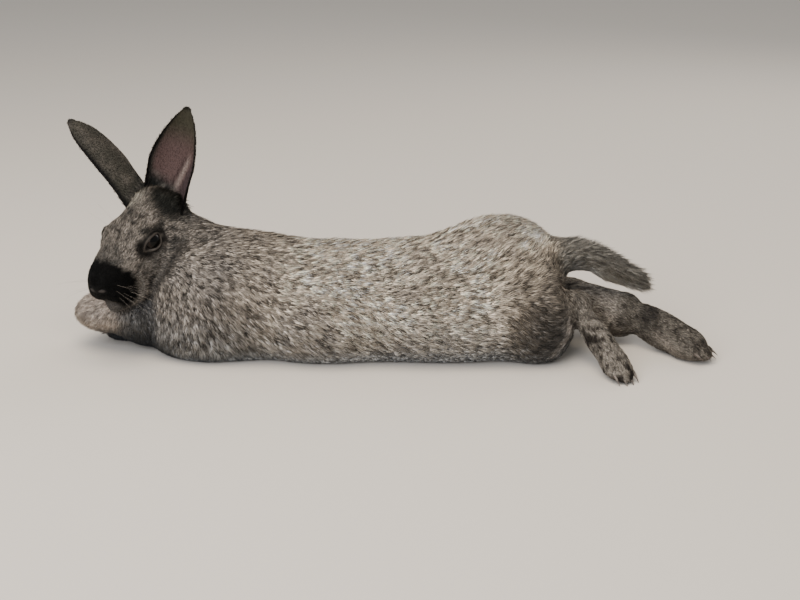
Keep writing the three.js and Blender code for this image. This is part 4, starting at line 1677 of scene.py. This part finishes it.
def whiskers():
    points, faces = [], []
    for side in (1, -1):
        for place, way, length in WHISKERS:
            first = len(points)
            points += whisker_points(place, way, length, side)
            faces += tube_faces(WHISKER_RINGS, WHISKER_AROUND, first)
            last = first + WHISKER_AROUND * (WHISKER_RINGS - 1)
            faces += [(first + 2, first + 1, first), (last, last + 1, last + 2)]
    mesh = mesh_of("whiskers", to_metres(points), faces)
    turn_outward(mesh)
    return object_of("whiskers", mesh)


def whisker_material():
    """Stiff smooth hair, grown pale and a little glossy, with darker lengths about 12 mm long."""
    material, tree, shader = new_material("pale whisker hair")
    where = add_node(tree, "ShaderNodeTexCoord").outputs["Object"]
    change = add_node(tree, "ShaderNodeTexNoise", {"Vector": where, "Scale": 1 / (12 * MM)})
    tone = add_node(tree, "ShaderNodeValToRGB", {"Fac": out(change)})
    set_stops(tone.color_ramp, {0: hex_colour("#4a4540"), 1: hex_colour("#948c82")})
    set_inputs(tree, shader, {"Base Color": out(tone), "Roughness": 0.35})
    return material


def claw_material():
    """Dark horn, grown and worn smooth: a low gleam, with paler streaks about 1.5 mm apart."""
    material, tree, shader = new_material("dark horn claw")
    where = add_node(tree, "ShaderNodeTexCoord").outputs["Object"]
    streak = add_node(
        tree, "ShaderNodeTexNoise", {"Vector": where, "Scale": 1 / (1.5 * MM), "Detail": 2.0}
    )
    tone = add_node(tree, "ShaderNodeValToRGB", {"Fac": out(streak)})
    set_stops(tone.color_ramp, {0: hex_colour("#1c1817"), 1: hex_colour("#5a4f47")})
    bump = add_node(
        tree, "ShaderNodeBump", {"Strength": 0.3, "Distance": 0.15 * MM, "Height": out(streak)}
    )
    set_inputs(tree, shader, {"Base Color": out(tone), "Normal": out(bump), "Roughness": 0.32})
    return material


wet = eye_material()
eyes = {f"eye_{name}": eyeball(f"eyeball_{name}", side) for name, side in (("left", 1), ("right", -1))}
for eye in eyes.values():
    eye.data.materials.append(wet)
whisker_piece = whiskers()
whisker_piece.data.materials.append(whisker_material())
horn = claw_material()
for name, claw in frame["nodes"].items():
    if name.startswith("claw"):
        claw.data.materials.clear()
        claw.data.materials.append(horn)

# ---- Floor, lights and camera --------------------------------------------------------------------

CAMERA_ABOVE = 17.5  # degrees above the horizon
CAMERA_AWAY = 1382
CAMERA_LENS, CAMERA_SENSOR = 67.2, 36
AIM = (0, 0, 43.5)
FLOOR_REACH = 20.0  # metres each way
# The place and target of each light and its side in metres, its watts and its colour.
LIGHTS = {
    "ceiling": ((-0.3, -0.5, 1.9), (0, 0, 0), 1.6, 51, "#fff1de"),
    "window": ((-1.0, -1.9, 1.1), (0, 0, 0.05), 1.6, 59, "#f5f8ff"),
    "behind": ((0.9, 1.3, 1.1), (0, 0, 0.05), 1.0, 8, "#fff8f0"),
}


def make_camera():
    camera = object_of("camera", bpy.data.cameras.new("camera"))
    up = math.radians(CAMERA_ABOVE)
    back = Vector((0, -math.cos(up), math.sin(up)))
    camera.location = Vector(to_metres(AIM)) + back * CAMERA_AWAY * MM
    camera.rotation_euler = (math.pi / 2 - up, 0, 0)
    camera.data.lens = CAMERA_LENS
    camera.data.sensor_width = CAMERA_SENSOR
    camera.data.clip_start = 0.05
    bpy.context.scene.camera = camera


def area_light(name, place, target, size, power, colour):
    light = bpy.data.lights.new(name, "AREA")
    light.size = size
    light.energy = power
    light.color = hex_colour(colour)
    lamp = object_of(name, light)
    lamp.location = place
    lamp.rotation_mode = "QUATERNION"
    lamp.rotation_quaternion = (Vector(target) - Vector(place)).to_track_quat("-Z", "Y")


def room_light():
    world = bpy.data.worlds.new("room")
    world.use_nodes = True
    background = world.node_tree.nodes["Background"]
    background.inputs["Color"].default_value = (*hex_colour("#dfe0e2"), 1)
    background.inputs["Strength"].default_value = 0.75
    bpy.context.scene.world = world


def plain_floor():
    """Matt pale vinyl, evenly lit."""
    material, tree, shader = new_material("matt pale vinyl floor")
    set_inputs(tree, shader, {"Base Color": (*hex_colour("#c4beb5"), 1), "Roughness": 0.9})
    return material


def make_floor():
    corners = [(x * FLOOR_REACH, y * FLOOR_REACH, 0) for x, y in ((-1, -1), (1, -1), (1, 1), (-1, 1))]
    floor = object_of("floor", mesh_of("floor", corners, [(0, 1, 2, 3)]))
    floor.data.materials.append(plain_floor())


make_floor()
for name, facts in LIGHTS.items():
    area_light(name, *facts)
room_light()
make_camera()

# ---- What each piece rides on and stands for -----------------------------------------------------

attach(skin, "root")
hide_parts(*FLESH)
for piece in coat:
    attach(piece, "root")
for node, eye in eyes.items():
    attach(eye, "root")
    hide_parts(node)
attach(whisker_piece, "root")
